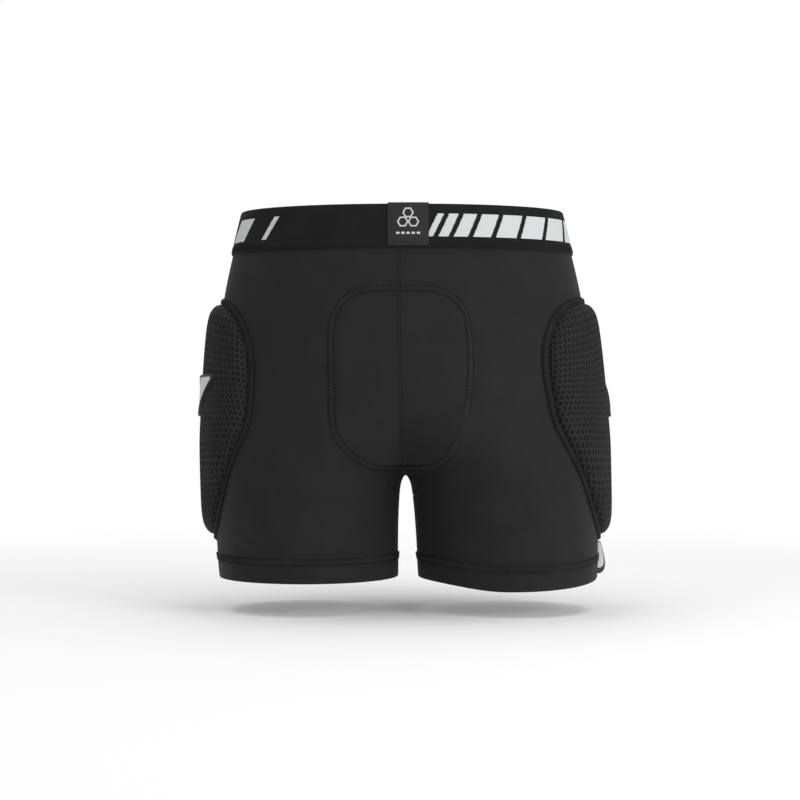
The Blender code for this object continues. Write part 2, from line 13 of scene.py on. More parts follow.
import bmesh
import bpy
import numpy as np
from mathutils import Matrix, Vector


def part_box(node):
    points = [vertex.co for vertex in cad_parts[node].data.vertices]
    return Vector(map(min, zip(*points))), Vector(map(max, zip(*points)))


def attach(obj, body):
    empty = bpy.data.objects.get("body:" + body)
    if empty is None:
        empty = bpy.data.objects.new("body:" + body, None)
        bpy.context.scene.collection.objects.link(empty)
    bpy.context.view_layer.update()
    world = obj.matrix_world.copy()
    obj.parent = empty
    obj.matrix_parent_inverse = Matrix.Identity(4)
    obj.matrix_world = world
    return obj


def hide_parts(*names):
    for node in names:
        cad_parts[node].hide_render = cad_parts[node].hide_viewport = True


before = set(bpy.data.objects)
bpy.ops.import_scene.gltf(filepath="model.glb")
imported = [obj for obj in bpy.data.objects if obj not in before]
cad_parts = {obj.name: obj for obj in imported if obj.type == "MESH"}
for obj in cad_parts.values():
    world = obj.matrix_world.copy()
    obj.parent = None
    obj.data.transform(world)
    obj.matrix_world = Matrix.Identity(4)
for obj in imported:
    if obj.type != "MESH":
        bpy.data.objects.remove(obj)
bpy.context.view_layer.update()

LOG = logging.getLogger("shorts")
BODY_NAME = "root"
WHITE = (1.0, 1.0, 1.0)
Array = np.ndarray
Place = Callable[[Array, Array], Array]
Line = tuple[Array, Array]
Socket = bpy.types.NodeSocket
Colour = tuple[float, float, float]
Table = dict[str, tuple[float, ...]]


class Side(Enum):
    """Which half of the shorts a piece is on, as the sign of its X."""

    LEFT = 1
    RIGHT = -1

    @property
    def word(self) -> str:
        """The side in small letters, for a piece's name."""
        return self.name.lower()


class Crease(NamedTuple):
    """Soft fold in the cloth: its middle, run and tilt on the back or front, width and height."""

    x: float
    z: float
    half_run: float
    tilt: float
    width: float
    height: float
    behind: bool


class Block(NamedTuple):
    """Slanted block knitted into the band: where it starts from centre back, and its width."""

    start: float
    width: float


# Level sections of the body: share of the length down, then shares of width and depths.
BODY_TABLE = {
    "down": (0.000, 0.119, 0.236, 0.353, 0.500, 0.647, 0.794, 0.926, 1.000),
    "wide": (0.832, 0.886, 0.933, 0.962, 0.985, 1.000, 0.999, 0.993, 0.984),
    "back": (0.820, 0.877, 0.930, 0.978, 1.000, 0.970, 0.895, 0.830, 0.812),
    "front": (0.930, 0.960, 0.985, 1.000, 0.990, 0.965, 0.925, 0.895, 0.885),
}
# Share of the seat rise, and how far the thigh's ring would reach past the centre line.
SEAT_TABLE = {
    "up": (0.00, 0.02, 0.05, 0.10, 0.20, 0.35, 0.55, 0.75, 0.90, 1.00),
    "past": (0.000, 0.003, 0.013, 0.046, 0.145, 0.330, 0.580, 0.800, 0.940, 1.000),
}
# Share of the inseam, and how open the gap between the legs is.
LEG_TABLE = {
    "down": (0.00, 0.10, 0.23, 0.47, 1.00),
    "open": (0.00, 0.33, 0.52, 0.73, 1.00),
}
# Half outlines of patches: share down, and share of the half width.
PAD_OUTLINE = {
    "down": (0.000, 0.018, 0.070, 0.155, 0.270, 0.400, 0.530, 0.660, 0.770, 0.870, 0.955, 1.000),
    "across": (0.00, 0.40, 0.64, 0.78, 0.872, 0.945, 1.00, 0.92, 0.765, 0.59, 0.37, 0.00),
}
SEAT_PAD_OUTLINE = {
    "down": (0.000, 0.005, 0.060, 0.180, 0.380, 0.620, 0.800, 0.930, 0.985, 1.000),
    "across": (0.00, 0.45, 0.78, 0.96, 1.00, 0.98, 0.90, 0.66, 0.36, 0.00),
}
BADGE_OUTLINE = {
    "down": (0.00, 0.00, 0.08, 0.35, 0.65, 0.92, 1.00, 1.00),
    "across": (0.00, 0.70, 0.95, 1.00, 1.00, 0.95, 0.70, 0.00),
}
# The seat stitching: share down, and shares of the half width to each side.
SEAT_STITCH_OUTLINE = {
    "down": (0.000, 0.005, 0.050, 0.140, 0.250, 0.380, 0.600, 0.740, 0.810, 0.880, 0.945, 0.988, 1.000),
    "left": (0.00, 0.45, 0.76, 0.93, 0.99, 1.00, 0.995, 0.985, 0.94, 0.82, 0.64, 0.40, 0.00),
    "right": (0.00, 0.45, 0.76, 0.93, 0.98, 1.00, 0.965, 0.88, 0.82, 0.72, 0.59, 0.34, 0.00),
}
CREASES = (
    Crease(-0.057, -0.203, 0.020, 2.72, 0.0060, 0.0009, True),
    Crease(0.148, -0.286, 0.014, 0.60, 0.0050, 0.0008, True),
    Crease(-0.160, -0.281, 0.013, 2.60, 0.0050, 0.0008, True),
    Crease(0.040, -0.228, 0.018, 0.45, 0.0060, 0.0007, True),
    Crease(-0.050, -0.215, 0.020, 2.70, 0.0070, 0.0008, False),
    Crease(0.052, -0.213, 0.020, 0.42, 0.0070, 0.0008, False),
)
BLOCKS = (
    Block(-0.030, 0.006),
    Block(-0.041, 0.009),
    Block(-0.055, 0.013),
    Block(-0.073, 0.017),
    Block(-0.095, 0.021),
    Block(-0.121, 0.025),
    Block(-0.151, 0.029),
    Block(-0.185, 0.033),
    Block(0.160, 0.029),
    Block(0.126, 0.006),
)


def smooth(x: Array, xs: Array, ys: Array) -> Array:
    """Monotone cubic curve through the points xs, ys, read at x, and flat where they turn back."""
    step = np.diff(xs)
    rise = np.diff(ys) / step
    slope = np.zeros(len(xs))
    slope[0], slope[-1] = rise[0], rise[-1]
    ahead = 2 * step[1:] + step[:-1]
    behind = step[1:] + 2 * step[:-1]
    same = rise[1:] * rise[:-1] > 0
    left = np.where(same, rise[:-1], 1.0)
    right = np.where(same, rise[1:], 1.0)
    slope[1:-1] = np.where(same, (ahead + behind) / (ahead / left + behind / right), 0.0)
    x = np.clip(x, xs[0], xs[-1])
    i = np.clip(np.searchsorted(xs, x, side="right") - 1, 0, len(step) - 1)
    t = (x - xs[i]) / step[i]
    start = ys[i] * (1 + 2 * t) * (1 - t) ** 2 + slope[i] * step[i] * t * (1 - t) ** 2
    return start + ys[i + 1] * t * t * (3 - 2 * t) + slope[i + 1] * step[i] * t * t * (t - 1)


def read_table(table: Table, share: str, name: str, where: Array) -> Array:
    """A named column of a table, read smoothly at the given shares."""
    return smooth(where, np.array(table[share]), np.array(table[name]))


def soft_step(x: Array, low: float, high: float) -> Array:
    """Rise from 0 at low to 1 at high, level at both ends."""
    t = np.clip((x - low) / (high - low), 0.0, 1.0)
    return t * t * (3 - 2 * t)


def bell(x: Array, width: float) -> Array:
    """Bell curve of height 1: the exponential of minus the square of x over the width."""
    return np.exp(-(x / width) ** 2)


def unit(vectors: Array) -> Array:
    """The vectors' directions, each of length 1."""
    return vectors / np.linalg.norm(vectors, axis=-1, keepdims=True)


def gather(*parts: Array) -> Array:
    """Points from their coordinates, which are broadcast to one shape."""
    return np.stack(np.broadcast_arrays(*parts), axis=-1)


def lengths(path: Array, axis: int = 0) -> Array:
    """Length travelled along rows of points up to each of them, from 0."""
    steps = np.diff(path, axis=axis, prepend=np.take(path, [0], axis=axis))
    return np.cumsum(np.linalg.norm(steps, axis=-1), axis=axis)


def resample(path: Array, count: int, closed: bool) -> Array:
    """A path's points, spread evenly by length, with any columns after the third carried along."""
    whole = np.concatenate([path, path[:1]]) if closed else path
    travelled = lengths(whole[:, :3])
    even = np.linspace(0, travelled[-1], count, endpoint=not closed)
    return np.stack([np.interp(even, travelled, part) for part in whole.T], axis=1)


def closed_outline(knots: Array, steps: int) -> Array:
    """Closed Catmull-Rom curve through knots of two numbers each, evenly spaced by length."""
    samples = 40 * len(knots)
    t = np.linspace(0, len(knots), samples, endpoint=False)
    i = t.astype(int)
    t = (t - i)[:, None]
    p0, p1, p2, p3 = (knots[(i + shift) % len(knots)] for shift in (-1, 0, 1, 2))
    curve = 0.5 * (2 * p1 + (p2 - p0) * t + (2 * p0 - 5 * p1 + 4 * p2 - p3) * t ** 2
                   + (3 * p1 - p0 - 3 * p2 + p3) * t ** 3)
    return resample(curve, steps, closed=True)


def whole_outline(table: Table, right: str = "across", left: str = "across") -> Array:
    """Knots of a whole outline from its two sides: shares across and up, from -1 to 1."""
    up = 1 - 2 * np.array(table["down"])
    there = gather(np.array(table[right]), up)
    back = gather(-np.array(table[left]), up)[-2:0:-1]
    return np.concatenate([there, back])


def reach_in(outline: Array, spots: Array) -> Array:
    """How far out each spot lies from the middle, as a share of the outline's distance there."""
    bearing = np.arctan2(outline[:, 0], outline[:, 1])
    order = np.argsort(bearing)
    radius = np.hypot(outline[:, 0], outline[:, 1])[order]
    toward = np.arctan2(spots[..., 0], spots[..., 1])
    edge = np.interp(toward, bearing[order], radius, period=2 * math.pi)
    return np.hypot(spots[..., 0], spots[..., 1]) / edge


class Ridge(NamedTuple):
    """Rounded ridge along a line, or a valley where its height is negative."""

    height: float
    at: float
    width: float

    def over(self, distance: Array) -> Array:
        """Its height at a distance across it."""
        return self.height * bell(distance - self.at, self.width)


@dataclass(frozen=True)
class WornBody:
    """The body surface that every piece is laid on.

    A level section is an ellipse round the waist, whose centre moves outward further down until it
    is a ring round each thigh. Distances from the centre plane are flattened within the crotch arch,
    so that the two halves join in a round arch.
    """

    length: float = 0.3443
    rise: float = 0.249
    hip_half_width: float = 0.1815
    seat_depth: float = 0.122
    front_depth: float = 0.106
    seat_rise: float = 0.120
    leg_gap: float = 0.0195
    crotch_arch: float = 0.006
    hem_sway: float = 0.006
    hem_dip: float = 0.0085
    band_height: float = 0.0405

    @property
    def top(self) -> float:
        """Height of the band's top edge."""
        return self.band_height / 2

    @property
    def band_bottom(self) -> float:
        """Height of the band's lower edge."""
        return -self.band_height / 2

    @property
    def hem(self) -> float:
        """Height of the leg openings."""
        return self.top - self.length

    @property
    def crotch(self) -> float:
        """Height of the arch between the legs."""
        return self.top - self.rise

    @property
    def side_depth(self) -> float:
        """Mean depth of the body at its side, which sets how far round a length along it goes."""
        return (self.seat_depth + self.front_depth) / 2

    def size_at(self, z: Array) -> tuple[Array, Array, Array]:
        """Half width, depth behind and depth in front at height z."""
        down = (self.top - np.asarray(z, float)) / self.length
        wide = self.hip_half_width * read_table(BODY_TABLE, "down", "wide", down)
        back = self.seat_depth * read_table(BODY_TABLE, "down", "back", down)
        front = self.front_depth * read_table(BODY_TABLE, "down", "front", down)
        return wide, back, front

    def flatten(self, x: Array) -> Array:
        """Distance from the centre plane, rounded off within the crotch arch."""
        return np.sqrt(x * x + self.crotch_arch ** 2) - self.crotch_arch

    def unflatten(self, flat: Array) -> Array:
        """The inverse of flatten."""
        flat = np.maximum(flat, 0.0)
        return np.sqrt(flat * (flat + 2 * self.crotch_arch))

    def ring(self, z: Array) -> tuple[Array, Array]:
        """Centre and radius, in flattened distance, of the ellipse at height z."""
        z = np.asarray(z, float)
        outer = self.flatten(self.size_at(z)[0])
        past = outer * read_table(SEAT_TABLE, "up", "past", (z - self.crotch) / self.seat_rise)
        inseam = self.length - self.rise
        spread = read_table(LEG_TABLE, "down", "open", (self.crotch - z) / inseam)
        gap = self.flatten(self.leg_gap / 2) * spread
        inner = np.where(z > self.crotch, -past, gap)
        return (outer + inner) / 2, (outer - inner) / 2

    def around(self, angle: Array, z: Array) -> Array:
        """Left half's point at an angle round its ellipse: 0 inside, a quarter behind, pi outside."""
        centre, radius = self.ring(z)
        _, back, front = self.size_at(z)
        x = self.unflatten(centre - radius * np.cos(angle))
        y = np.where(np.sin(angle) > 0, back, front) * np.sin(angle)
        return gather(x, y, z)

    def across(self, x: Array, z: Array, behind: bool = True) -> Array:
        """Point of the back or the front at a distance x from the centre plane."""
        centre, radius = self.ring(z)
        _, back, front = self.size_at(z)
        share = np.clip((self.flatten(x) - centre) / radius, -1.0, 1.0)
        depth = np.where(behind, back, -front) * np.sqrt(1.0 - share * share)
        return gather(x, depth, z)

    def behind_at(self, x: Array, z: Array) -> Array:
        """Point of the back at a distance x from the centre plane."""
        return self.across(x, z, True)

    def before_at(self, x: Array, z: Array) -> Array:
        """Point of the front at a distance x from the centre plane."""
        return self.across(x, z, False)

    def belt(self, turn: Array, z: Array, out: Array) -> Array:
        """Waist point at an angle from centre back, moved outward level by out."""
        wide = self.size_at(z)[0]
        step = 1e-4

        def place(at: Array) -> Array:
            return self.across(wide * np.sin(at), z, np.cos(at) > 0)

        run = place(turn + step) - place(turn - step)
        normal = unit(gather(-run[..., 1], run[..., 0], 0.0))
        point = place(turn)
        facing = np.sign(np.sum(normal * point * (1, 1, 0), axis=-1, keepdims=True))
        return point + facing * normal * np.asarray(out)[..., None]

    def lean(self, points: Array) -> Array:
        """The worn stance: the legs drift to the wearer's right, and that hem dips behind."""
        points = np.array(points, float)
        share = np.clip((self.top - points[..., 2]) / self.length, 0.0, 1.0)
        right = np.clip(-2 * points[..., 0] / self.hip_half_width, 0.0, 1.0)
        dip = right * right * (3 - 2 * right) * share ** 3 * points[..., 1] / self.seat_depth
        points[..., 2] -= self.hem_dip * dip
        points[..., 0] -= self.hem_sway * share ** 1.6
        return points


BODY = WornBody()
BACK_AND_FRONT = ((BODY.behind_at, -1), (BODY.before_at, 1))


def outward(place: Place, u: Array, v: Array, facing: int) -> Array:
    """Unit normals of a surface function, from small steps along both of its parameters."""
    step = 1e-5
    along = place(u + step, v) - place(u - step, v)
    up = place(u, v + step) - place(u, v - step)
    return unit(np.cross(along, up) * facing)


def lifted(place: Place, u: Array, v: Array, height: Array, facing: int = -1) -> Array:
    """Points of a surface function moved along its outward normal by a height."""
    return place(u, v) + outward(place, u, v, facing) * np.asarray(height)[..., None]


@dataclass
class Patch:
    """A stretch of surface: its points, its faces by number of corners, and its cloth coordinates."""

    points: Array
    faces: list[Array]
    cloth: Array

    def flipped(self) -> "Patch":
        """The same surface with its faces turned over."""
        return Patch(self.points, [face[:, ::-1] for face in self.faces], self.cloth)

    def mirrored(self, side: Side) -> "Patch":
        """The patch on the given side of the centre plane, its faces still pointing the same way out."""
        if side is Side.LEFT:
            return self
        return Patch(self.points * (-1, 1, 1), self.faces, self.cloth).flipped()


def join(patches: Sequence[Patch]) -> Patch:
    """Several patches as one."""
    starts = np.cumsum([0] + [len(patch.points) for patch in patches[:-1]])
    faces = [face + start for patch, start in zip(patches, starts) for face in patch.faces]
    points = np.concatenate([patch.points for patch in patches])
    return Patch(points, faces, np.concatenate([patch.cloth for patch in patches]))


def grid(points: Array, cloth: Array, wrap_rows: bool = False, wrap_columns: bool = False) -> Patch:
    """Quads over rows and columns of points, which turn from the rows to the columns.

    With a wrap, the last row or column meets the first.
    """
    rows, columns = points.shape[:2]
    number = np.arange(rows * columns).reshape(rows, columns)
    if wrap_rows:
        number = np.concatenate([number, number[:1]])
    if wrap_columns:
        number = np.concatenate([number, number[:, :1]], axis=1)
    quads = np.stack([number[:-1, :-1], number[:-1, 1:], number[1:, 1:], number[1:, :-1]], axis=-1)
    return Patch(points.reshape(-1, 3), [quads.reshape(-1, 4)], cloth.reshape(-1, 2))


def capped_disc(points: Array, cloth: Array) -> Patch:
    """Disc from rings of points, its first ring all in one spot and kept as a single point."""
    rings, spokes = points.shape[:2]
    number = np.arange((rings - 1) * spokes).reshape(rings - 1, spokes) + 1
    number = np.concatenate([number, number[:, :1]], axis=1)
    fan = np.stack([np.zeros(spokes, int), number[0, :-1], number[0, 1:]], axis=-1)
    quads = np.stack([number[:-1, :-1], number[1:, :-1], number[1:, 1:], number[:-1, 1:]], axis=-1)
    flat = np.concatenate([points[:1, 0], points[1:].reshape(-1, 3)])
    spread = np.concatenate([cloth[:1, 0], cloth[1:].reshape(-1, 2)])
    return Patch(flat, [fan, quads.reshape(-1, 4)], spread)


class Graph:
    """Node graph of a material or a world, written as short calls."""

    def __init__(self, owner: bpy.types.ID) -> None:
        """Start from the nodes that every material or world has."""
        owner.use_nodes = True
        self.nodes = owner.node_tree.nodes
        self.links = owner.node_tree.links
        self.shader = self.nodes.get("Principled BSDF")

    def feed(self, node: bpy.types.Node, inputs: dict[str | int, object]) -> None:
        """Link a node's inputs to other sockets, or set their own values."""
        for name, value in inputs.items():
            socket = node.inputs[name]
            if isinstance(value, Socket):
                self.links.new(value, socket)
            else:
                socket.default_value = (*value, 1.0) if socket.type == "RGBA" else value

    def made(self, kind: str, inputs: dict[str | int, object], **settings: object) -> bpy.types.Node:
        """A node of a kind, with its settings and its inputs."""
        node = self.nodes.new(kind)
        for name, value in settings.items():
            setattr(node, name, value)
        self.feed(node, inputs)
        return node

    def math(self, operation: str, *values: object) -> Socket:
        """One sum of the Math node."""
        return self.made("ShaderNodeMath", dict(enumerate(values)), operation=operation).outputs[0]

    def vector(self, operation: str, *values: object) -> Socket:
        """One sum of the Vector Math node."""
        node = self.made("ShaderNodeVectorMath", dict(enumerate(values)), operation=operation)
        return node.outputs["Value" if operation == "LENGTH" else "Vector"]

    def parts(self, vector: Socket) -> Sequence[Socket]:
        """The X, Y and Z of a vector."""
        return self.made("ShaderNodeSeparateXYZ", {"Vector": vector}).outputs

    def blend(self, share: object, first: object, second: object) -> Socket:
        """Colour that goes from the first to the second as the share goes from 0 to 1."""
        return self.made("ShaderNodeMix", {0: share, 6: first, 7: second}, data_type="RGBA").outputs[2]

    def rise(self, value: object, low: float, high: float, start: float = 0.0,
             end: float = 1.0) -> Socket:
        """Soft step from start, where the value is low, to end, where it is high."""
        inputs = {"Value": value, "From Min": low, "From Max": high, "To Min": start, "To Max": end}
        node = self.made("ShaderNodeMapRange", inputs, interpolation_type="SMOOTHSTEP")
        return node.outputs["Result"]

    def cloth(self) -> Socket:
        """The piece's own cloth coordinates."""
        return self.made("ShaderNodeUVMap", {}, uv_map="cloth").outputs["UV"]

    def place(self) -> Socket:
        """The point itself, in metres."""
        return self.made("ShaderNodeTexCoord", {}).outputs["Object"]

    def noise(self, vector: object, scale: float, detail: float = 3.0) -> Socket:
        """Cloudy noise from 0 to 1."""
        inputs = {"Vector": vector, "Scale": scale, "Detail": detail}
        return self.made("ShaderNodeTexNoise", inputs).outputs[0]

    def bump(self, height: object, distance: float, strength: float = 1.0) -> None:
        """Let a height from 0 to 1, worth a distance, tilt the shader's normal."""
        inputs = {"Height": height, "Distance": distance, "Strength": strength}
        self.feed(self.shader, {"Normal": self.made("ShaderNodeBump", inputs).outputs["Normal"]})

    def wave(self, value: object, pitch: float) -> Socket:
        """Even wave between 0 and 1, one for each pitch."""
        turned = self.math("SINE", self.math("MULTIPLY", value, 2 * math.pi / pitch))
        return self.math("MULTIPLY_ADD", turned, 0.5, 0.5)


def grey(value: float, warmth: float = 0.0) -> Colour:
    """Grey of a linear value, a little warmer or cooler."""
    return (value * (1 + warmth), value, value * (1 - warmth))


@dataclass(frozen=True)
class Finish:
    """What every finish has: its name, record slot (not used), two shades of its colour and how it shines."""

    name: str
    slot: str
    colour: Colour
    shade: Colour
    roughness: float = 0.8
    sheen: float = 0.0
    gloss: float = 0.18
    clouds: float = 38.0

    def material(self) -> bpy.types.Material:
        """The finish as a material, made once."""
        known = bpy.data.materials.get(self.name)
        return known or self.build()

    def build(self) -> bpy.types.Material:
        """Make the material: clouded colour, then whatever the kind of finish adds."""
        material = bpy.data.materials.new(self.name)
        graph = Graph(material)
        clouds = graph.rise(graph.noise(graph.place(), self.clouds), 0.3, 0.7)
        colour = graph.blend(clouds, self.colour, self.shade)
        graph.feed(graph.shader, {
            "Sheen Weight": self.sheen,
            "Sheen Roughness": 0.45,
            "Specular IOR Level": self.gloss,
            "Roughness": graph.math("MULTIPLY_ADD", clouds, -0.08, self.roughness + 0.04),
            "Base Color": self.detail(graph, colour),
        })
        return material

    def detail(self, graph: Graph, colour: Socket) -> Socket:
        """Add the kind's own relief, and return its colour. Plain finishes have a faint grain."""
        graph.bump(graph.noise(graph.place(), 900.0, 2.0), 0.0001, 0.4)
        return colour


@dataclass(frozen=True)
class Jersey(Finish):
    """Smooth warp knit: fine upright wales, crossed by courses that lean to and fro."""

    wale: float = 0.0008
    course: float = 0.0006
    # Share of the cloth's colour left in the knit's hollows: painted shade.
    depth: float = 0.72

    def detail(self, graph: Graph, colour: Socket) -> Socket:
        """Wales as a wave across the cloth, courses as a wave up it, their product as relief and as painted
        shade in its hollows.
        """
        across, up, _ = graph.parts(graph.cloth())
        wales = graph.wave(across, self.wale)
        lean = graph.math("MULTIPLY_ADD", wales, self.course * 0.5, up)
        courses = graph.wave(lean, self.course)
        relief = graph.math("MULTIPLY", graph.math("MULTIPLY_ADD", wales, 0.6, 0.4),
                            graph.math("MULTIPLY_ADD", courses, 0.6, 0.4))
        graph.bump(relief, 0.00010, 0.45)
        # Painted shade: darker colour where the knit's relief is low.
        return graph.blend(graph.rise(relief, 0.1, 0.5), grey(self.colour[0] * self.depth), colour)


@dataclass(frozen=True)
class Weave(Finish):
    """Tape or satin: close threads across and along."""

    pitch: float = 0.0006
    depth: float = 0.0001

    def detail(self, graph: Graph, colour: Socket) -> Socket:
        """Two crossing waves of threads, the higher of the two showing."""
        across, up, _ = graph.parts(graph.cloth())
        over = graph.wave(graph.math("ADD", across, up), self.pitch)
        under = graph.wave(graph.math("SUBTRACT", across, up), self.pitch)
        relief = graph.math("MAXIMUM", over, graph.math("MULTIPLY", under, 0.8))
        graph.bump(relief, self.depth, 0.5)
        return colour


@dataclass(frozen=True)
class Elastic(Finish):
    """Knitted elastic: close upright ribs, crossed by courses, with pale blocks knitted in."""

    pale: Colour = (0.60, 0.63, 0.63)
    rib: float = 0.0011
    low: float = -0.0103
    high: float = 0.0112
    slant: float = 0.55
    stitch: float = 0.0007

    def detail(self, graph: Graph, colour: Socket) -> Socket:
        """Blocks read the cloth's coordinates in whole stitches, so that their edges have teeth."""
        cloth = graph.cloth()
        across, up, _ = graph.parts(cloth)
        along, height, _ = graph.parts(graph.vector("SNAP", cloth, (self.stitch, self.stitch, 1.0)))
        leaned = graph.math("MULTIPLY_ADD", height, self.slant, along)
        inside = graph.math("MULTIPLY", graph.math("GREATER_THAN", height, self.low),
                            graph.math("LESS_THAN", height, self.high))
        blocks: object = 0.0
        for block in BLOCKS:
            middle = block.start - block.width / 2 if block.start < 0 else block.start + block.width / 2
            near = graph.math("COMPARE", leaned, middle, block.width / 2)
            blocks = graph.math("MAXIMUM", near, blocks)
        blocks = graph.math("MULTIPLY", blocks, inside)
        ribs = graph.wave(across, self.rib)
        courses = graph.wave(up, self.stitch)
        relief = graph.math("MULTIPLY_ADD", ribs, 0.6, graph.math("MULTIPLY", courses, 0.4))
        graph.bump(relief, 0.00016, 0.5)
        # Painted shade, not wear: the pale blocks darken towards grey where the rib and course relief is low.
        worn = graph.blend(graph.rise(relief, 0.0, 0.8), grey(0.5), self.pale)
        return graph.blend(blocks, colour, worn)


@dataclass(frozen=True)
class Honeycomb(Finish):
    """Spacer mesh: a net of raised ridges round cells, the ridges painted lighter as light and the cells
    darker as shade. One cloth unit is a cell's width.
    """

    # Lighter colour painted on the ridges, where light falls on the net.
    lit_ridge_colour: Colour = (0.0240, 0.0240, 0.0245)

    def detail(self, graph: Graph, colour: Socket) -> Socket:
        """Distance to the edge of the nearest cell, from the nearer of two sets of cell middles."""
        cloth = graph.cloth()
        half = (0.5, CELL.row, 1.0)
        moved = graph.vector("SUBTRACT", cloth, (0.5, CELL.row, 0.0))
        minus = (-0.5, -CELL.row, -1.0)
        wrapped = [graph.vector("WRAP", spots, half, minus) for spots in (cloth, moved)]
        first, second = (graph.vector("MULTIPLY", spots, (1.0, CELL.squash, 0.0)) for spots in wrapped)
        nearer = graph.math("LESS_THAN", graph.vector("LENGTH", first), graph.vector("LENGTH", second))
        node = graph.made("ShaderNodeMix", {0: nearer, 4: second, 5: first}, data_type="VECTOR")
        spot = graph.vector("ABSOLUTE", node.outputs[1])
        across, up, _ = graph.parts(spot)
        slope = graph.math("MULTIPLY_ADD", across, 0.5, graph.math("MULTIPLY", up, math.sqrt(0.75)))
        hexagon = graph.math("MAXIMUM", across, slope)
        rounded = graph.math("MULTIPLY_ADD", graph.vector("LENGTH", spot), CELL.round,
                             graph.math("MULTIPLY", hexagon, 1 - CELL.round))
        ridge = graph.rise(rounded, CELL.inner, CELL.outer)
        threads = graph.noise(graph.place(), 1500.0, 2.0)
        relief = graph.math("MULTIPLY_ADD", threads, 0.25, ridge)
        graph.bump(relief, 0.0002, 0.5)
        # Painted light and shade: the ridges take the lighter colour, the cells keep the finish's darker one.
        return graph.blend(ridge, colour, self.lit_ridge_colour)


@dataclass(frozen=True)
class Cell:
    """One cell of the mesh, in cell widths: how far apart the rows are and how wide its ridge is."""

    width: float = 0.0064
    row: float = 0.88
    inner: float = 0.375
    outer: float = 0.445
    round: float = 0.22

    @property
    def squash(self) -> float:
        """Factor that makes the lattice of cell middles a regular one."""
        return math.sqrt(0.75) / self.row

    def ridge(self, cloth: Array) -> Array:
        """Height of the net, from 0 in a cell to 1 on its ridge, by the shader's own formula."""
        half = np.array([0.5, self.row])

        def wrapped(spots: Array) -> Array:
            return ((spots + half) % (2 * half) - half) * (1, self.squash)

        first, second = wrapped(cloth), wrapped(cloth - half)
        nearer = np.linalg.norm(first, axis=-1) < np.linalg.norm(second, axis=-1)
        spot = np.abs(np.where(nearer[..., None], first, second))
        slope = spot[..., 0] * 0.5 + spot[..., 1] * math.sqrt(0.75)
        hexagon = np.maximum(spot[..., 0], slope)
        rounded = self.round * np.linalg.norm(spot, axis=-1) + (1 - self.round) * hexagon
        return soft_step(rounded, self.inner, self.outer)


CELL = Cell()

SHELL_CLOTH = Jersey("shell_cloth", "shell_fabric", grey(0.0135), grey(0.0145), 0.80, 0.06)
BAND_KNIT = Elastic("band_knit", "band_elastic", grey(0.0062), grey(0.0074), 0.80, 0.02)
LABEL_SATIN = Weave("label_satin", "label_weave", grey(0.019), grey(0.022), 0.60, 0.02, pitch=0.0005)
LABEL_THREAD = Weave("label_thread", "label_weave", grey(0.55), grey(0.50), 0.60, pitch=0.0004)
# The pad mesh's own colours are the cells' painted shade; its ridges are painted lighter.
PAD_MESH = Honeycomb("pad_mesh_cloth", "pad_mesh", grey(0.0052), grey(0.0060), 0.80, 0.02)
BINDING_TAPE = Weave("binding_tape", "pad_binding", grey(0.0100), grey(0.0120), 0.82, 0.02)
FOAM_COVER = Jersey("foam_cover", "seat_foam", grey(0.026), grey(0.030), 0.85, 0.05)
BAND_THREAD = Finish("band_thread", "band_elastic", grey(0.0100), grey(0.0130), 0.60)
BINDING_THREAD = Finish("binding_thread", "pad_binding", grey(0.021), grey(0.026), 0.60)
SEAM_THREAD = Finish("seam_thread", "shell_fabric", grey(0.0062), grey(0.0080), 0.70)
LADDER_THREAD = Finish("ladder_thread", "shell_fabric", grey(0.0290), grey(0.0350), 0.65)
BADGE_FACE = Finish("badge_face", "badge_rubber", grey(0.62, 0.01), grey(0.66, 0.01), 0.45)
BADGE_RIM = Finish("badge_rim", "badge_rubber", grey(0.022), grey(0.026), 0.50)
TAB_FACE = Weave("tab_face", "tab_weave", grey(0.93), grey(0.95), 0.65, pitch=0.0004)
TAB_EDGE = Weave("tab_edge", "tab_weave", grey(0.075), grey(0.090), 0.65, pitch=0.0004)


def linked(name: str, data: bpy.types.ID) -> bpy.types.Object:
    """A new object of the data, in the scene."""
    thing = bpy.data.objects.new(name, data)
    bpy.context.scene.collection.objects.link(thing)
    return thing


def put(name: str, patch: Patch, finish: Finish, merge: float = 0.0, closed: bool = False,
        sharp: float = 50.0) -> bpy.types.Object:
    """Make a piece of a patch, in the worn stance, and hang it on the body.

    Points nearer than the merge distance become one, a closed body's faces are turned outward,
    and edges past the sharp angle in degrees are sharp.
    """
    mesh = bpy.data.meshes.new(name)
    mesh.vertices.add(len(patch.points))
    mesh.vertices.foreach_set("co", BODY.lean(patch.points).astype(np.float32).ravel())
    corners = np.concatenate([face.ravel() for face in patch.faces])
    counts = np.concatenate([np.full(len(face), face.shape[1]) for face in patch.faces])
    mesh.loops.add(len(corners))
    mesh.loops.foreach_set("vertex_index", corners.astype(np.int32))
    mesh.polygons.add(len(counts))
    mesh.polygons.foreach_set("loop_start", (np.cumsum(counts) - counts).astype(np.int32))
    mesh.update(calc_edges=True)
    layer = mesh.uv_layers.new(name="cloth")
    layer.uv.foreach_set("vector", patch.cloth[corners].astype(np.float32).ravel())
    if merge > 0 or closed:
        work = bmesh.new()
        work.from_mesh(mesh)
        if merge > 0:
            bmesh.ops.remove_doubles(work, verts=work.verts, dist=merge)
        if closed:
            bmesh.ops.recalc_face_normals(work, faces=work.faces)
        work.to_mesh(mesh)
        work.free()
    mesh.materials.append(finish.material())
    mesh.shade_smooth()
    mesh.set_sharp_from_angle(angle=math.radians(sharp))
    piece = linked(name, mesh)
    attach(piece, BODY_NAME)
    LOG.info("%s: %d faces", name, len(mesh.polygons))
    return piece


def thicken(piece: bpy.types.Object, thickness: float, group: str = "") -> None:
    """Give a sheet its thickness on the inside, or a share of it by a group's weights."""
    wall = piece.modifiers.new("wall", "SOLIDIFY")
    wall.thickness = thickness
    wall.offset = -1.0
    wall.vertex_group = group


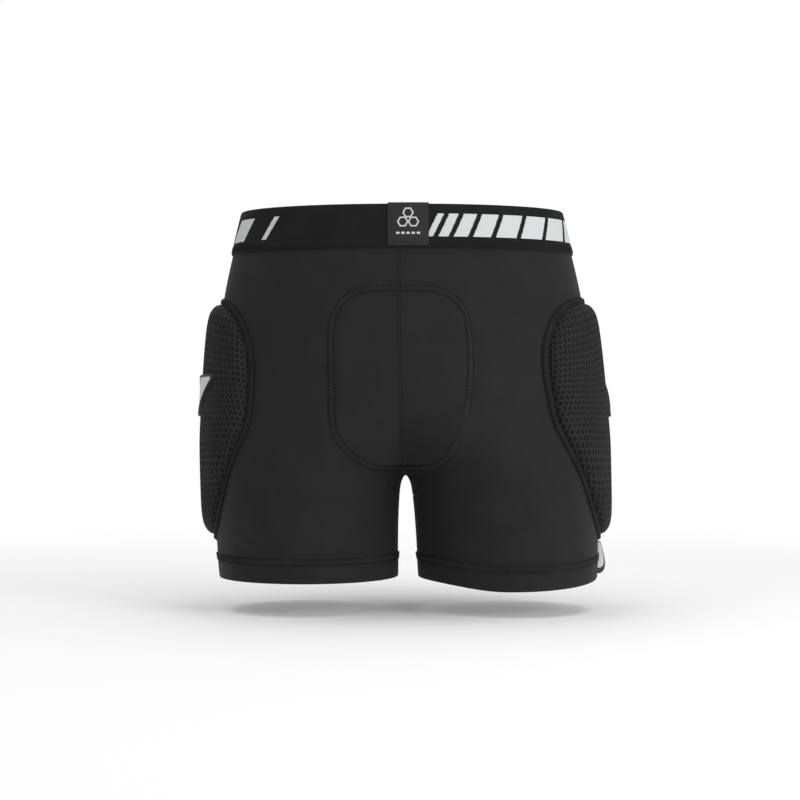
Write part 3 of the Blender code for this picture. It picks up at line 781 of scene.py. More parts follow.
@dataclass(frozen=True)
class Thread:
    """Sewing thread: its thickness, how long a stitch is and how far apart stitches start."""

    radius: float = 0.00040
    stitch: float = 0.0021
    pitch: float = 0.0027
    arch: float = 0.00025

    def strands(self, starts: Array, ends: Array, normals: Array) -> Patch:
        """Short arched strands from start to end, one row each, all in one patch.

        A strand's middle line is a parabola between its ends, raised along the normal; it is
        a five-sided tube, thinner at both ends.
        """
        shares = np.array([0.0, 0.2, 0.5, 0.8, 1.0])
        thick = np.array([0.45, 0.95, 1.0, 0.95, 0.45]) * self.radius
        angles = np.linspace(0, 2 * math.pi, 5, endpoint=False)
        along = unit(ends - starts)
        aside = unit(np.cross(along, normals))
        up = np.cross(aside, along)
        line = starts[:, None] + (ends - starts)[:, None] * shares[:, None]
        line += up[:, None] * (self.arch * 4 * shares * (1 - shares))[:, None]
        ring = aside[:, None] * np.cos(angles)[:, None] + up[:, None] * np.sin(angles)[:, None]
        points = line[:, :, None] + ring[:, None] * thick[:, None, None]
        count, rings, sides = points.shape[:3]
        number = np.arange(count * rings * sides).reshape(count, rings, sides)
        beside = np.roll(number, -1, axis=2)
        quads = np.stack([number[:, :-1], beside[:, :-1], beside[:, 1:], number[:, 1:]], axis=-1)
        caps = np.concatenate([number[:, 0, ::-1], number[:, -1]])
        flat = points.reshape(-1, 3)
        return Patch(flat, [quads.reshape(-1, 4), caps], np.zeros((len(flat), 2)))

    def spots(self, columns: Sequence[Array], closed: bool) -> Sequence[Array]:
        """Points a pitch apart along the first of several paths, and the others' beside them."""
        path = columns[0]
        length = lengths(np.concatenate([path, path[:1]]) if closed else path)[-1]
        count = max(3, round(length / self.pitch))
        return np.split(resample(np.concatenate(columns, axis=1), count, closed), len(columns), axis=1)

    def row(self, path: Array, normals: Array, closed: bool = False) -> Patch:
        """A row of straight stitches along a path, each a little shorter than the pitch."""
        spots, faces_up = self.spots([path, normals], closed)
        reach = (np.roll(spots, -1, axis=0) - spots) * self.stitch / self.pitch
        last = None if closed else -1
        return self.strands(spots[:last], (spots + reach)[:last], faces_up[:last])

    def zigzag(self, first: Line, second: Line) -> Patch:
        """Strands that go to and fro between two closed paths whose points lie opposite each other."""
        left, faces_up, right = self.spots([*first, second[0]], closed=True)
        back = self.strands(right, np.roll(left, -1, axis=0), faces_up)
        return join([self.strands(left, right, faces_up), back])

    def cover(self, lines: Sequence[Line], looper: "Thread") -> list[Patch]:
        """Coverstitch: a closed row along each of two lines, and the looper's zigzag between them."""
        rows = [self.row(*line, closed=True) for line in lines]
        return [join(rows), looper.zigzag(*lines)]


@dataclass
class ShortsShell:
    """The stretch cloth: two halves, the insert between the legs, and all their stitching."""

    fabric: float = 0.0012
    hem_wall: float = 0.0021
    hem_height: float = 0.023
    clearance: float = 0.0003
    seam_gap: float = 0.00004
    seam_side: float = 0.0016
    seat_rows: tuple[float, float] = (-0.0004, 0.0046)
    hem_rows: tuple[float, float] = (0.0008, 0.0058)
    band_lap: float = 0.009
    gusset_width: float = 0.036
    gusset_end_rise: float = 0.007
    gusset_side_drop: float = 0.020
    gusset_bow: float = 2.2
    seat_top: float = -0.0545
    seat_bottom: float = -0.2225
    seat_half_width: float = 0.0648
    seat_rise: float = 0.0011
    seat_groove: Ridge = Ridge(-0.0004, 0.0015, 0.0045)
    seam_valley: Ridge = Ridge(-0.0003, 0.0, 0.0008)
    seam_ridge: Ridge = Ridge(0.00015, 0.0035, 0.0025)
    hem_groove: Ridge = Ridge(-0.0003, -0.0060, 0.0014)
    hem_step: float = 0.0004
    hem_blend: float = 0.0010
    edge_drop: float = 0.0006
    edge_blend: float = 0.0012
    thread_rise: float = 0.00055
    columns: int = 230
    flat_half: tuple[float, float] = (0.53, 0.335)
    flat_gusset: tuple[float, float] = (0.036, 0.140)
    thread: Thread = Thread()
    seam_thread: Thread = Thread(radius=0.00026, stitch=0.0015, pitch=0.0024, arch=0.0001)
    looper: Thread = Thread(radius=0.00033, pitch=0.0028, arch=0.00015)

    @property
    def top(self) -> float:
        """Height at which the cloth ends under the band."""
        return BODY.band_bottom + self.band_lap - self.clearance

    @property
    def gusset_end(self) -> float:
        """Height of the insert's two ends."""
        return BODY.crotch + self.gusset_end_rise

    @property
    def gusset_low(self) -> float:
        """Lowest height of the insert's side edges."""
        return BODY.crotch - self.gusset_side_drop

    @property
    def seat_middle(self) -> float:
        """Height of the middle of the seat stitching."""
        return (self.seat_top + self.seat_bottom) / 2

    def gusset_corner(self, behind: bool) -> float:
        """How far back or forward the insert's outer corners lie."""
        return abs(float(BODY.across(self.gusset_width / 2, self.gusset_end, behind)[1]))

    def gusset_edge(self, t: Array) -> Array:
        """Height of the insert's side edge, t from its middle (0) to its end (1)."""
        return self.gusset_low + (self.gusset_end - self.gusset_low) * np.abs(t) ** self.gusset_bow

    def seat_outline(self, steps: int) -> Array:
        """Closed outline of the seat stitching, across and up, in metres from its middle."""
        half_height = (self.seat_top - self.seat_bottom) / 2
        knots = whole_outline(SEAT_STITCH_OUTLINE, "right", "left") * (-1, 1)
        return closed_outline(knots, steps) * (self.seat_half_width, half_height)

    def relief(self, points: Array) -> Array:
        """Height of the cloth over the body surface.

        The sum of a low cushion inside the seat stitching, a groove along it, a valley with
        a ridge beside it along the centre seams, a step and a groove at the hem's stitching,
        and a bell-shaped ridge with a valley beside it for each crease.
        """
        x, y, z = points[..., 0], points[..., 1], points[..., 2]
        behind = y > 0
        spots = gather(x, z - self.seat_middle)
        outline = self.seat_outline(360)
        share = reach_in(outline, spots)
        gap = np.hypot(spots[..., 0], spots[..., 1]) * (1 - 1 / np.maximum(share, 1e-3))
        cushion = self.seat_rise * soft_step(-gap, 0.001, 0.010)
        height = np.where(behind, cushion + self.seat_groove.over(gap), 0.0)
        height += self.seam_valley.over(x) + self.seam_ridge.over(np.abs(x))
        fold = BODY.hem + self.hem_height
        height += self.hem_step * soft_step(-z, -fold - self.hem_blend, -fold + self.hem_blend)
        height += self.hem_groove.over(z - fold)
        height -= self.edge_drop * soft_step(-z, -BODY.hem - self.edge_blend, -BODY.hem)
        for crease in CREASES:
            dx, dz = x - crease.x, z - crease.z
            along = dx * math.cos(crease.tilt) + dz * math.sin(crease.tilt)
            aside = -dx * math.sin(crease.tilt) + dz * math.cos(crease.tilt)
            wave = bell(aside, crease.width) - 0.7 * bell(aside - 1.5 * crease.width, crease.width)
            there = bell(along, crease.half_run) * (behind == crease.behind)
            height = height + crease.height * wave * there
        return height

    def rows(self) -> Array:
        """Heights of a half's rows, from the hem up: close at the hem and at the insert's edge."""
        fold = BODY.hem + self.hem_height
        hem = BODY.hem + np.array([0.0, 0.0006, 0.0012, 0.0030, 0.0060, 0.0090, 0.0120])
        stitched = np.arange(BODY.hem + 0.0140, fold + 0.0040, 0.0010)
        leg = np.linspace(fold + 0.0040, self.gusset_low, 30)
        edge = self.gusset_edge(np.linspace(0, 1, 17)[1:])
        seat = np.linspace(self.gusset_end, self.top, 102)[1:]
        return np.concatenate([hem, stitched, leg, edge, seat])

    def half(self) -> Patch:
        """The left half: a grid round the thigh, and two strips beside the centre seams.

        A row's angles run from the insert's or the seam's edge behind to the one in front, closer
        together behind, and the relief moves each point along the surface's normal.
        """
        z = self.rows()
        _, back, front = BODY.size_at(z)
        low, end = self.gusset_low, self.gusset_end
        share = (np.clip(z - low, 0, end - low) / (end - low)) ** (1 / self.gusset_bow)
        start = np.arcsin(share * self.gusset_corner(True) / back)
        finish = 2 * math.pi - np.arcsin(share * self.gusset_corner(False) / front)
        centre, radius = BODY.ring(z)
        turned = (centre - BODY.flatten(self.gusset_width / 2)) / radius
        opening = np.arccos(np.clip(turned, -1, 1))
        above = z > end
        start = np.where(above, opening, start)
        finish = np.where(above, 2 * math.pi - opening, finish)
        spread = np.linspace(0, 1, self.columns) ** 1.2
        angle = start[:, None] + (finish - start)[:, None] * spread
        height = np.broadcast_to(z[:, None], angle.shape)
        main = self.laid(BODY.around, angle, height, -1)
        patches = [grid(main, gather(lengths(main, axis=1), height)).flipped()]
        seam = np.array([0, 0.03, 0.06, 0.10, 0.15, 0.22, 0.32, 0.45, 0.6, 0.8, 1.0])
        x = self.seam_gap / 2 + seam * (self.gusset_width - self.seam_gap) / 2
        z_seat = z[z >= end]
        x_grid, z_grid = np.meshgrid(x, z_seat)
        for place, facing in BACK_AND_FRONT:
            strip = self.laid(place, x_grid, z_grid, facing)
            patch = grid(strip, gather(x_grid - x[-1], z_grid))
            patches.append(patch.flipped() if facing < 0 else patch)
        return join(patches)

    def laid(self, place: Place, u: Array, v: Array, facing: int, height: float = 0.0) -> Array:
        """Points of a surface function at the cloth's relief and a height above it."""
        base = place(u, v)
        return base + outward(place, u, v, facing) * (self.relief(base) + height)[..., None]

    def gusset_surface(self, steps: int) -> Patch:
        """The insert: a saddle over the arch, wider at its ends.

        Each point lies a share t from the middle to an end and a share w from the centre plane to
        a side edge. Its flattened distance is the edge's times w squared, and its height is where
        the body surface passes that spot, found by repeated substitution.
        """
        trim_t = 1 - 2 * self.clearance / self.gusset_corner(True)
        trim_w = 1 - 2 * self.clearance / self.gusset_width
        t, w = np.meshgrid(np.linspace(-1, 1, 2 * steps + 1) * trim_t,
                           np.linspace(-1, 1, steps + 1) * trim_w)
        edge_z = self.gusset_edge(t)
        centre, radius = BODY.ring(edge_z)
        _, back, front = BODY.size_at(edge_z)
        corner = np.where(t > 0, self.gusset_corner(True), self.gusset_corner(False))
        depth = np.where(t > 0, back, front)
        edge = centre - radius * np.sqrt(1 - (np.abs(t) * corner / depth) ** 2)
        flat = edge * w * w
        end_centre, end_radius = BODY.ring(self.gusset_end)
        _, end_back, end_front = BODY.size_at(self.gusset_end)
        end_depth = np.where(t > 0, end_back, end_front)
        end_share = (end_centre - BODY.flatten(self.gusset_width / 2) * w * w) / end_radius
        y = t * end_depth * np.sqrt(1 - end_share ** 2)
        z = self.saddle_height(flat, y)
        points = gather(np.sign(w) * BODY.unflatten(flat), y, z)
        return grid(points, points[..., :2])

    def saddle_height(self, flat: Array, y: Array) -> Array:
        """Height at which the body surface passes a spot between the legs."""
        z = np.full(np.shape(y), BODY.crotch)
        heights = np.linspace(BODY.hem, BODY.crotch + BODY.seat_rise / 2, 4000)
        centre, radius = BODY.ring(heights)
        for _ in range(12):
            wide, back, front = BODY.size_at(z)
            outer = BODY.flatten(wide)
            bulge = np.sqrt(1 - (y / np.where(y > 0, back, front)) ** 2)
            middle = (flat + outer * bulge) / (1 + bulge)
            z = np.interp(-(2 * middle - outer), radius - centre, heights)
        return z

    def line(self, place: Place, u: Array, v: Array, facing: int, sign: int = 1) -> Line:
        """A sewing line on the cloth and the normals along it, on the given side."""
        points = self.laid(place, u, v, facing, self.thread_rise) * (sign, 1, 1)
        return points, outward(place, u, v, facing) * (sign, 1, 1)

    def build(self) -> None:
        """Make the halves and the insert, then sew them."""
        half = self.half()
        for side in Side:
            piece = put(f"shell_{side.word}", half.mirrored(side), SHELL_CLOTH, merge=2e-5)
            self.add_wall(piece)
            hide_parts(f"panel_{side.word}")
        insert = put("shell_gusset", self.gusset_surface(26), SHELL_CLOTH)
        thicken(insert, self.fabric)
        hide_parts("gusset")
        self.sew_seat()
        self.sew_centre()
        self.sew_hems()

    def add_wall(self, piece: bpy.types.Object) -> None:
        """Cloth thickness on the inside, doubled at the turned-up hem."""
        fold = BODY.hem + self.hem_height - self.clearance / 2
        count = len(piece.data.vertices)
        places = np.empty(count * 3, np.float32)
        piece.data.vertices.foreach_get("co", places)
        group = piece.vertex_groups.new(name="wall")
        lower = np.flatnonzero(places[2::3] < fold)
        group.add(list(range(count)), self.fabric / self.hem_wall, "REPLACE")
        group.add(lower.tolist(), 1.0, "REPLACE")
        thicken(piece, self.hem_wall, group.name)

    def sew(self, lines: Sequence[Line], name: str, ending: str = "") -> None:
        """Coverstitch along a pair of lines, its rows and its ladder as two pieces."""
        rows, ladder = self.thread.cover(lines, self.looper)
        put(f"{name}_stitches{ending}", rows, SEAM_THREAD)
        put(f"{name}_ladder{ending}", ladder, LADDER_THREAD)

    def sew_seat(self) -> None:
        """Coverstitch round the seat."""
        outline = self.seat_outline(400)
        size = np.linalg.norm(outline, axis=1, keepdims=True)
        lines = []
        for inset in self.seat_rows:
            x, up = (outline * (1 - inset / size)).T
            lines.append(self.line(BODY.behind_at, x, up + self.seat_middle, -1))
        self.sew(lines, "seat")

    def sew_centre(self) -> None:
        """Stitches down the centre seams and across the insert's ends, behind and in front."""
        z = np.linspace(self.gusset_end, BODY.band_bottom - 0.0008, 200)
        x = np.linspace(-self.gusset_width / 2, self.gusset_width / 2, 40)
        level = self.gusset_end + 0.0014
        sewn = []
        for thread, u, v in ((self.seam_thread, self.seam_side, z), (self.thread, x, level)):
            sewn += [thread.row(*self.line(place, u, v, facing)) for place, facing in BACK_AND_FRONT]
        put("centre_stitches", join(sewn), SEAM_THREAD)

    def sew_hems(self) -> None:
        """Coverstitch round each hem."""
        angle = np.linspace(0, 2 * math.pi, 400, endpoint=False)
        upper = BODY.hem + self.hem_height
        for side in Side:
            lines = [self.line(BODY.around, angle, upper - drop, -1, side.value) for drop in self.hem_rows]
            self.sew(lines, "hem", f"_{side.word}")


@dataclass
class Waistband:
    """The knitted elastic ring, its coverstitching, and the folded label at centre back."""

    proud: float = 0.0015
    inside: float = 0.0012
    bulge: float = 0.00025
    edge_groove: Ridge = Ridge(-0.00045, 0.0012, 0.0007)
    sewn_groove: Ridge = Ridge(-0.00035, 0.0090, 0.0008)
    crest: float = 0.0014
    lap: float = 0.009
    lap_gap: float = 0.0003
    columns: int = 640
    measured_row: int = 12
    label_width: float = 0.0368
    label_shift: float = -0.0077
    label_drop: float = 0.0385
    label_inside: float = 0.014
    label_wall: float = 0.0008
    motif_rise: float = 0.00012
    hexagon_places: tuple[tuple[float, float], ...] = ((-0.0048, 0.0035), (0.0048, 0.0035), (0.0, 0.0118))
    hexagon_radii: tuple[float, float] = (0.0052, 0.0037)
    bar_pitch: float = 0.0046
    bar_half: tuple[float, float] = (0.0015, 0.0010)
    bar_level: float = -0.0068
    sewn_rows: tuple[float, float] = (0.0020, 0.0082)
    thread: Thread = Thread(0.00026, 0.0019, 0.0024, 0.00020)
    looper: Thread = Thread(radius=0.00030, pitch=0.0020, arch=0.00020)
    label_thread: Thread = Thread(radius=0.00022, stitch=0.0017, pitch=0.0023, arch=0.00012)
    flat: tuple[float, float] = (0.80, 0.0405)

    def profile(self) -> Array:
        """Section of the band as rows of distance out and height, from its lower edge outside.

        The outer face bulges a little between its edges, the top edge is half a circle, and
        the inner face steps outward below to lap over the cloth.
        """
        bottom, top = BODY.band_bottom, BODY.top
        z = np.concatenate([np.linspace(bottom + 0.0006, bottom + 0.0100, 12),
                            np.linspace(bottom + 0.0112, top - self.crest, 14)])
        face = self.proud + self.bulge * np.sin(math.pi * (z - bottom) / (top - bottom))
        face += self.edge_groove.over(z - bottom) + self.sewn_groove.over(z - bottom)
        turn = np.linspace(0, math.pi, 9)[1:-1]
        half = (self.proud + self.inside) / 2
        middle = (self.proud - self.inside) / 2
        crest = gather(middle + half * np.cos(turn), top - self.crest * (1 - np.sin(turn)))
        step = bottom + self.lap
        inner = np.array([(-self.inside, top - self.crest), (-self.inside, 0.0), (-self.inside, step),
                          (self.lap_gap, step), (self.lap_gap, bottom + 0.0006), (0.0009, bottom)])
        return np.concatenate([gather(face, z), crest, inner])

    def build(self) -> None:
        """Make the band, sew it and fold the label over it."""
        turn = np.linspace(-math.pi, math.pi, self.columns + 1)
        points = np.stack([BODY.belt(turn, z, out) for out, z in self.profile()])
        along = lengths(points[self.measured_row])
        along -= along[self.columns // 2]
        cloth = gather(along, points[..., 2])
        band = put("band", grid(points, cloth, wrap_rows=True), BAND_KNIT, merge=1e-6, closed=True)
        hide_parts("waistband")
        self.sew()
        self.build_label()

    def line(self, z: float) -> Line:
        """A sewing line round the band at a height, and the normals along it."""
        turn = np.linspace(-math.pi, math.pi, 720, endpoint=False)
        out = self.proud + 0.0001
        points = BODY.belt(turn, z, out)
        return points, unit(BODY.belt(turn, z, out + 0.001) - points)

    def sew(self) -> None:
        """Coverstitch above the band's lower edge."""
        lines = [self.line(BODY.band_bottom + up) for up in self.sewn_rows]
        put("band_stitches", join(self.thread.cover(lines, self.looper)), BAND_THREAD)

    def label_point(self, x: Array, out: Array, z: Array) -> Array:
        """Point of the label at a distance from the centre plane, an outward distance and a height."""
        turn = np.arcsin(x / BODY.size_at(z)[0])
        return BODY.belt(turn, z, out)

    def build_label(self) -> None:
        """The label: a strip carried along a path up the band, round its top edge and inside."""
        out, top = self.proud + 0.0004, BODY.top + 0.0003
        inside = -self.inside - 0.0004
        bend = np.linspace(0, math.pi, 13)
        middle, half = (out + inside) / 2, (out - inside) / 2
        up = np.linspace(top - self.label_drop, top - 0.001, 30)
        down = np.linspace(top - 0.001, top - self.label_inside, 10)[1:]
        path = np.concatenate([
            gather(out + 0.0002 * np.sin(math.pi * (up - up[0]) / self.label_drop), up),
            gather(middle + half * np.cos(bend), top - 0.001 + 0.0011 * np.sin(bend))[1:],
            gather(inside, down),
        ])
        tangent = unit(np.gradient(path, axis=0))
        outer = path + gather(tangent[:, 1], -tangent[:, 0]) * self.label_wall
        x = self.label_shift + np.linspace(-0.5, 0.5, 25) * self.label_width
        loop = np.concatenate([outer, path[::-1]])
        x_grid, out_grid = np.meshgrid(x, loop[:, 0])
        z_grid = np.broadcast_to(loop[:, 1:], x_grid.shape)
        points = self.label_point(x_grid, out_grid, np.minimum(z_grid, BODY.top))
        points[..., 2] = z_grid
        cloth = gather(x_grid, lengths(loop)[:, None])
        sides = grid(points, cloth, wrap_rows=True)
        count = len(path)
        ends = [grid(np.stack([points[:count, k], points[:count - 1:-1, k]]),
                     np.stack([cloth[:count, k], cloth[:count - 1:-1, k]])) for k in (0, -1)]
        label = put("label", join([sides, *ends]), LABEL_SATIN, merge=1e-6, closed=True)
        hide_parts("back_label")
        self.decorate_label(out + self.label_wall + 0.00022)

    def decorate_label(self, out: float) -> None:
        """Three raised hexagon outlines, a row of short dashes and the stitches that hold the label."""
        turn = np.radians(np.arange(0, 360, 60) + 30)
        hexagon = np.stack([gather(np.sin(turn), np.cos(turn)) * radius for radius in self.hexagon_radii])
        corners = np.array([(-1, 1), (1, 1), (1, -1), (-1, -1)]) * self.bar_half
        flats = [hexagon + (x + self.label_shift, z) for x, z in self.hexagon_places]
        for k in range(-2, 3):
            middle = (self.label_shift + k * self.bar_pitch, self.bar_level)
            flats.append(np.stack([corners, 0 * corners]) + middle)
        patches = [self.raised(flat, out, self.motif_rise) for flat in flats]
        put("label_motif", join(patches), LABEL_THREAD, sharp=30)
        x = self.label_shift + np.linspace(-0.46, 0.46, 40) * self.label_width
        z = BODY.top - self.label_drop + 0.0028
        points = self.label_point(x, out, z)
        normals = self.label_point(x, out + 0.001, z) - points
        put("label_stitches", self.label_thread.row(points, normals), SEAM_THREAD)

    def raised(self, flat: Array, out: float, height: float) -> Patch:
        """Flat ring between two outlines, raised over the label's face with a wall outside."""
        wall = np.stack([flat[0], flat[0], flat[1]])
        lift = np.array([0.0, height, height])[:, None]
        points = self.label_point(wall[..., 0], out + lift + np.zeros(wall.shape[:2]), wall[..., 1])
        return grid(points, wall, wrap_columns=True)


@dataclass
class SeatPad:
    """The thin foam oval sewn inside the seat."""

    top: float = 0.075
    height: float = 0.1555
    half_width: float = 0.066
    wall: float = 0.0045
    edge: float = 0.0012
    gap: float = 0.0012 + 0.00095
    spokes: int = 96

    def build(self) -> None:
        """A closed lens: an outer face along the cloth, and an inner face that is thickest in the middle."""
        outline = closed_outline(whole_outline(SEAT_PAD_OUTLINE), self.spokes)
        shares = 1 - (1 - np.linspace(0, 1, 24)) ** 1.6
        disc = outline * shares[:, None, None]
        x = disc[..., 0] * self.half_width
        z = BODY.top - self.top - self.height * (1 - disc[..., 1]) / 2
        thick = self.edge + (self.wall - self.edge) * (1 - shares ** 4)
        thick = np.broadcast_to(thick[:, None], x.shape)
        near = lifted(BODY.behind_at, x, z, -self.gap)
        far = lifted(BODY.behind_at, x, z, -self.gap - thick)
        cloth = gather(x, z)
        rim = grid(np.stack([near[-1], far[-1]]), np.stack([cloth[-1]] * 2), wrap_columns=True)
        patch = join([capped_disc(near, cloth), capped_disc(far, cloth), rim])
        foam = put("seat_foam", patch, FOAM_COVER, merge=1e-6, closed=True)
        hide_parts("seat_pad")


@dataclass
class HipPad:
    """A domed hip pad in honeycomb mesh, its binding, its stitching and its badge."""

    side: Side
    puff: Array
    laid: float = 0.0008
    top: float = 0.0815
    height: float = 0.229
    width: float = 0.196
    thickness: float = 0.0102
    edge: float = 0.0014
    border: float = 0.0060
    border_wall: float = 0.0014
    spokes: int = 560
    rings: int = 92
    ridge: float = 0.00050
    net_stretch: tuple[float, float] = (1.20, 0.91)
    badge_length: float = 0.046
    badge_height: float = 0.039
    badge_lean: float = math.radians(47.7)
    badge_wall: float = 0.0018
    badge_drop: float = 0.1745
    badge_rim: float = 0.0026
    flat_border: tuple[float, float] = (0.010, 0.66)
    sewn_margins: tuple[float, float] = (0.0013, 0.0047)
    # Margin and height of the dark row that paints the shadow at the binding's outer edge.
    shade_cord_line: tuple[float, float] = (-0.0003, 0.0004)
    thread: Thread = Thread(arch=0.00022)
    looper: Thread = Thread(radius=0.00034, pitch=0.0032, arch=0.00015)
    # Dark, nearly unbroken row: painted shadow along the binding's outer edge, not a seam.
    shade_cord: Thread = Thread(radius=0.00055, stitch=0.0023, pitch=0.0026, arch=0.0001)

    def shift(self, up: Array) -> Array:
        """How far behind the side line the pad's middle lies, at a share of its height."""
        middle, tilt = (-0.0015, -0.0015) if self.side is Side.LEFT else (0.001, 0.0085)
        return middle + tilt * up

    @property
    def badge_shift(self) -> float:
        """How far behind the side line the badge's middle lies."""
        return 0.0115 if self.side is Side.LEFT else -0.0225

    @property
    def badge_slant(self) -> float:
        """How far back the badge leans as it rises: both badges lean the same way round the body."""
        return math.tan(self.badge_lean) * self.side.value

    def inset(self, gap: float) -> Array:
        """Shares across and up to which a margin shrinks the pad's outline."""
        return np.array([1 - 2 * gap / self.width, 1 - 2 * gap / self.height])

    def angle_and_height(self, spots: Array) -> tuple[Array, Array]:
        """Angle round the thigh and height of spots given as shares across and up."""
        angle = math.pi - (spots[..., 0] * self.width / 2 + self.shift(spots[..., 1])) / BODY.side_depth
        return angle, BODY.top - self.top - self.height * (1 - spots[..., 1]) / 2

    def crown(self, reach: Array) -> Array:
        """Height of the face above its edge: nearly flat, then quickly down at the rim."""
        return self.thickness * (1 - np.clip(reach, 0, 1) ** 14) ** 0.6

    def outline(self, steps: int, margin: float) -> Array:
        """The pad's outline inside a margin, as shares across and up."""
        return closed_outline(whole_outline(PAD_OUTLINE), steps) * self.inset(margin)

    def line(self, margin: float, height: float) -> Line:
        """A sewing line inside a margin of the outline and at a height, and the normals along it."""
        angle, z = self.angle_and_height(self.outline(400, margin))
        sign = (self.side.value, 1, 1)
        return lifted(BODY.around, angle, z, height) * sign, outward(BODY.around, angle, z, -1) * sign

    def cushion(self, puff: Array, spokes: int, shares: Array, ridge: float) -> Patch:
        """The pad as a closed body: its net face over the crown, and a flat base.

        A point of the face lies at the crown's height, plus the puffing, plus the net's ridges,
        which fade towards the binding, along the body's outward normal.
        """
        spots = self.outline(spokes, self.border - 0.0004) * shares[:, None, None]
        angle, z = self.angle_and_height(spots)
        reach = np.broadcast_to(shares[:, None], z.shape)
        face = self.laid + self.edge + self.crown(reach) + puff
        cloth = self.net_cloth(lifted(BODY.around, angle, z, face), spots)
        net = ridge * CELL.ridge(cloth) * (1 - 0.75 * soft_step(reach, 0.90, 1.0))
        high = lifted(BODY.around, angle, z, face + net)
        few = np.unique(np.linspace(0, len(shares) - 1, 5).astype(int))
        low = lifted(BODY.around, angle[few], z[few], self.laid)
        rim = grid(np.stack([high[-1], low[-1]]), np.stack([cloth[-1]] * 2), wrap_columns=True)
        return join([capped_disc(high, cloth), capped_disc(low, cloth[few]), rim])

    def net_cloth(self, face: Array, spots: Array) -> Array:
        """Where each point lies on the flat net, across and up, in cell widths.

        A point's way out from the middle is measured over the domed face, so that the net keeps its
        size down the steep rim, and its bearing is that of its spot.
        """
        flat = spots * (self.width / 2, self.height / 2)
        size = np.maximum(np.linalg.norm(flat, axis=-1, keepdims=True), 1e-9)
        return flat / size * lengths(face)[..., None] / CELL.width * self.net_stretch

    def build(self) -> None:
        """Make the pad, its binding and its badge."""
        shares = self.ring_shares(self.rings)
        puff = spread_puff(self.puff, self.spokes, shares)
        patch = self.cushion(puff, self.spokes, shares, self.ridge).mirrored(self.side)
        pad = put(f"pad_cover_{self.side.word}", patch, PAD_MESH, merge=1e-6, closed=True)
        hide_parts(f"hip_pad_{self.side.word}")
        self.build_border()
        self.build_badge(puff, shares)

    @staticmethod
    def ring_shares(rings: int) -> Array:
        """Shares of the way out, even over the face and closer at the rim."""
        t = np.linspace(0, 1, rings)
        return t + 0.10 * t ** 2 * (1 - t)

    def build_border(self) -> None:
        """The binding: a flat tape with rounded edges, carried along the pad's outline, its stitching, and a
        dark row just outside its outer edge that paints the shadow there.
        """
        spokes = 480
        shares = np.array([0.0, 0.02, 0.12, 0.30, 0.50, 0.70, 0.88, 0.98, 1.0])
        rise = np.array([0.0, 0.55, 0.92, 0.86, 1.0, 0.86, 0.92, 0.60, 0.0])
        rows, cloth = [], []
        for share, lift in [*zip(shares, rise), (0.75, 0.0), (0.25, 0.0)]:
            angle, z = self.angle_and_height(self.outline(spokes, share * self.border))
            rows.append(lifted(BODY.around, angle, z, 0.0001 + lift * (self.laid + self.border_wall)))
            cloth.append(gather(share * self.border, np.arange(spokes) * 0.0014))
        patch = grid(np.stack(rows), np.stack(cloth), wrap_rows=True, wrap_columns=True)
        name = self.side.word
        border = put(f"binding_{name}", patch.mirrored(self.side), BINDING_TAPE, closed=True)
        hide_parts(f"pad_border_{name}")
        level = self.laid + self.border_wall + 0.0001
        lines = [self.line(margin, level) for margin in self.sewn_margins]
        put(f"binding_stitches_{name}", join(self.thread.cover(lines, self.looper)), BINDING_THREAD)
        # Painted shadow: a dark thread row just outside the binding, where the groove at its foot lies in
        # shade.
        edge = self.shade_cord.row(*self.line(*self.shade_cord_line), closed=True)
        put(f"binding_edge_{name}", edge, SEAM_THREAD)

    def build_badge(self, puff: Array, shares: Array) -> None:
        """The badge: a slanted bar with round corners, its pale face inside a dark raised rim."""
        outline = closed_outline(whole_outline(BADGE_OUTLINE), 120)
        rim = self.badge_rim / (self.badge_height / 2)
        face_edge = 1 - rim
        split = 14
        rings = np.concatenate([np.linspace(0, face_edge, split), np.linspace(face_edge, 1, 8)[1:]])
        half = np.array([self.badge_length / 2, self.badge_height / 2])
        spots = outline * half
        disc = spots * rings[:, None, None]
        disc[:split] = spots * (1 - self.badge_rim / half) * (rings[:split] / face_edge)[:, None, None]
        up = disc[..., 1]
        along = disc[..., 0] + self.badge_slant * up + self.badge_shift
        z = BODY.top - self.badge_drop + up
        angle = math.pi - along / BODY.side_depth
        share_up = 1 - 2 * (BODY.top - self.top - z) / self.height
        seat = self.laid + self.edge + self.face_height(along - self.shift(share_up), z, puff, shares)
        bead = 0.0007 * np.sin(np.clip((rings - face_edge) / rim, 0, 1) * math.pi) ** 0.8
        fall = self.badge_wall * (1 - soft_step(rings, 1 - rim * 0.30, 1.0) * 0.5)
        top = seat + (fall + bead)[:, None]
        high = lifted(BODY.around, angle, z, top)
        low = lifted(BODY.around, angle[-1:], z[-1:], seat[-1:] - 0.0006)
        cloth = gather(along, z)
        face = capped_disc(high[:split], cloth[:split])
        ring = grid(np.concatenate([high[split - 1:], low]),
                    np.concatenate([cloth[split - 1:], cloth[-1:]]), wrap_columns=True).flipped()
        name = self.side.word
        pale = put(f"badge_face_{name}", face.mirrored(self.side), BADGE_FACE)
        put(f"badge_rim_{name}", ring.mirrored(self.side), BADGE_RIM)
        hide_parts(f"hip_badge_{name}")

    def face_height(self, along: Array, z: Array, puff: Array, shares: Array) -> Array:
        """Height of the pad's face above its edge, at a distance behind the side line and a height."""
        up = 1 - 2 * (BODY.top - self.top - z) / self.height
        spots = gather(along / (self.width / 2), up) / self.inset(self.border)
        reach = reach_in(closed_outline(whole_outline(PAD_OUTLINE), 360), spots)
        rise = np.interp(reach, shares, puff.mean(axis=1))
        return self.crown(reach) + rise + self.ridge


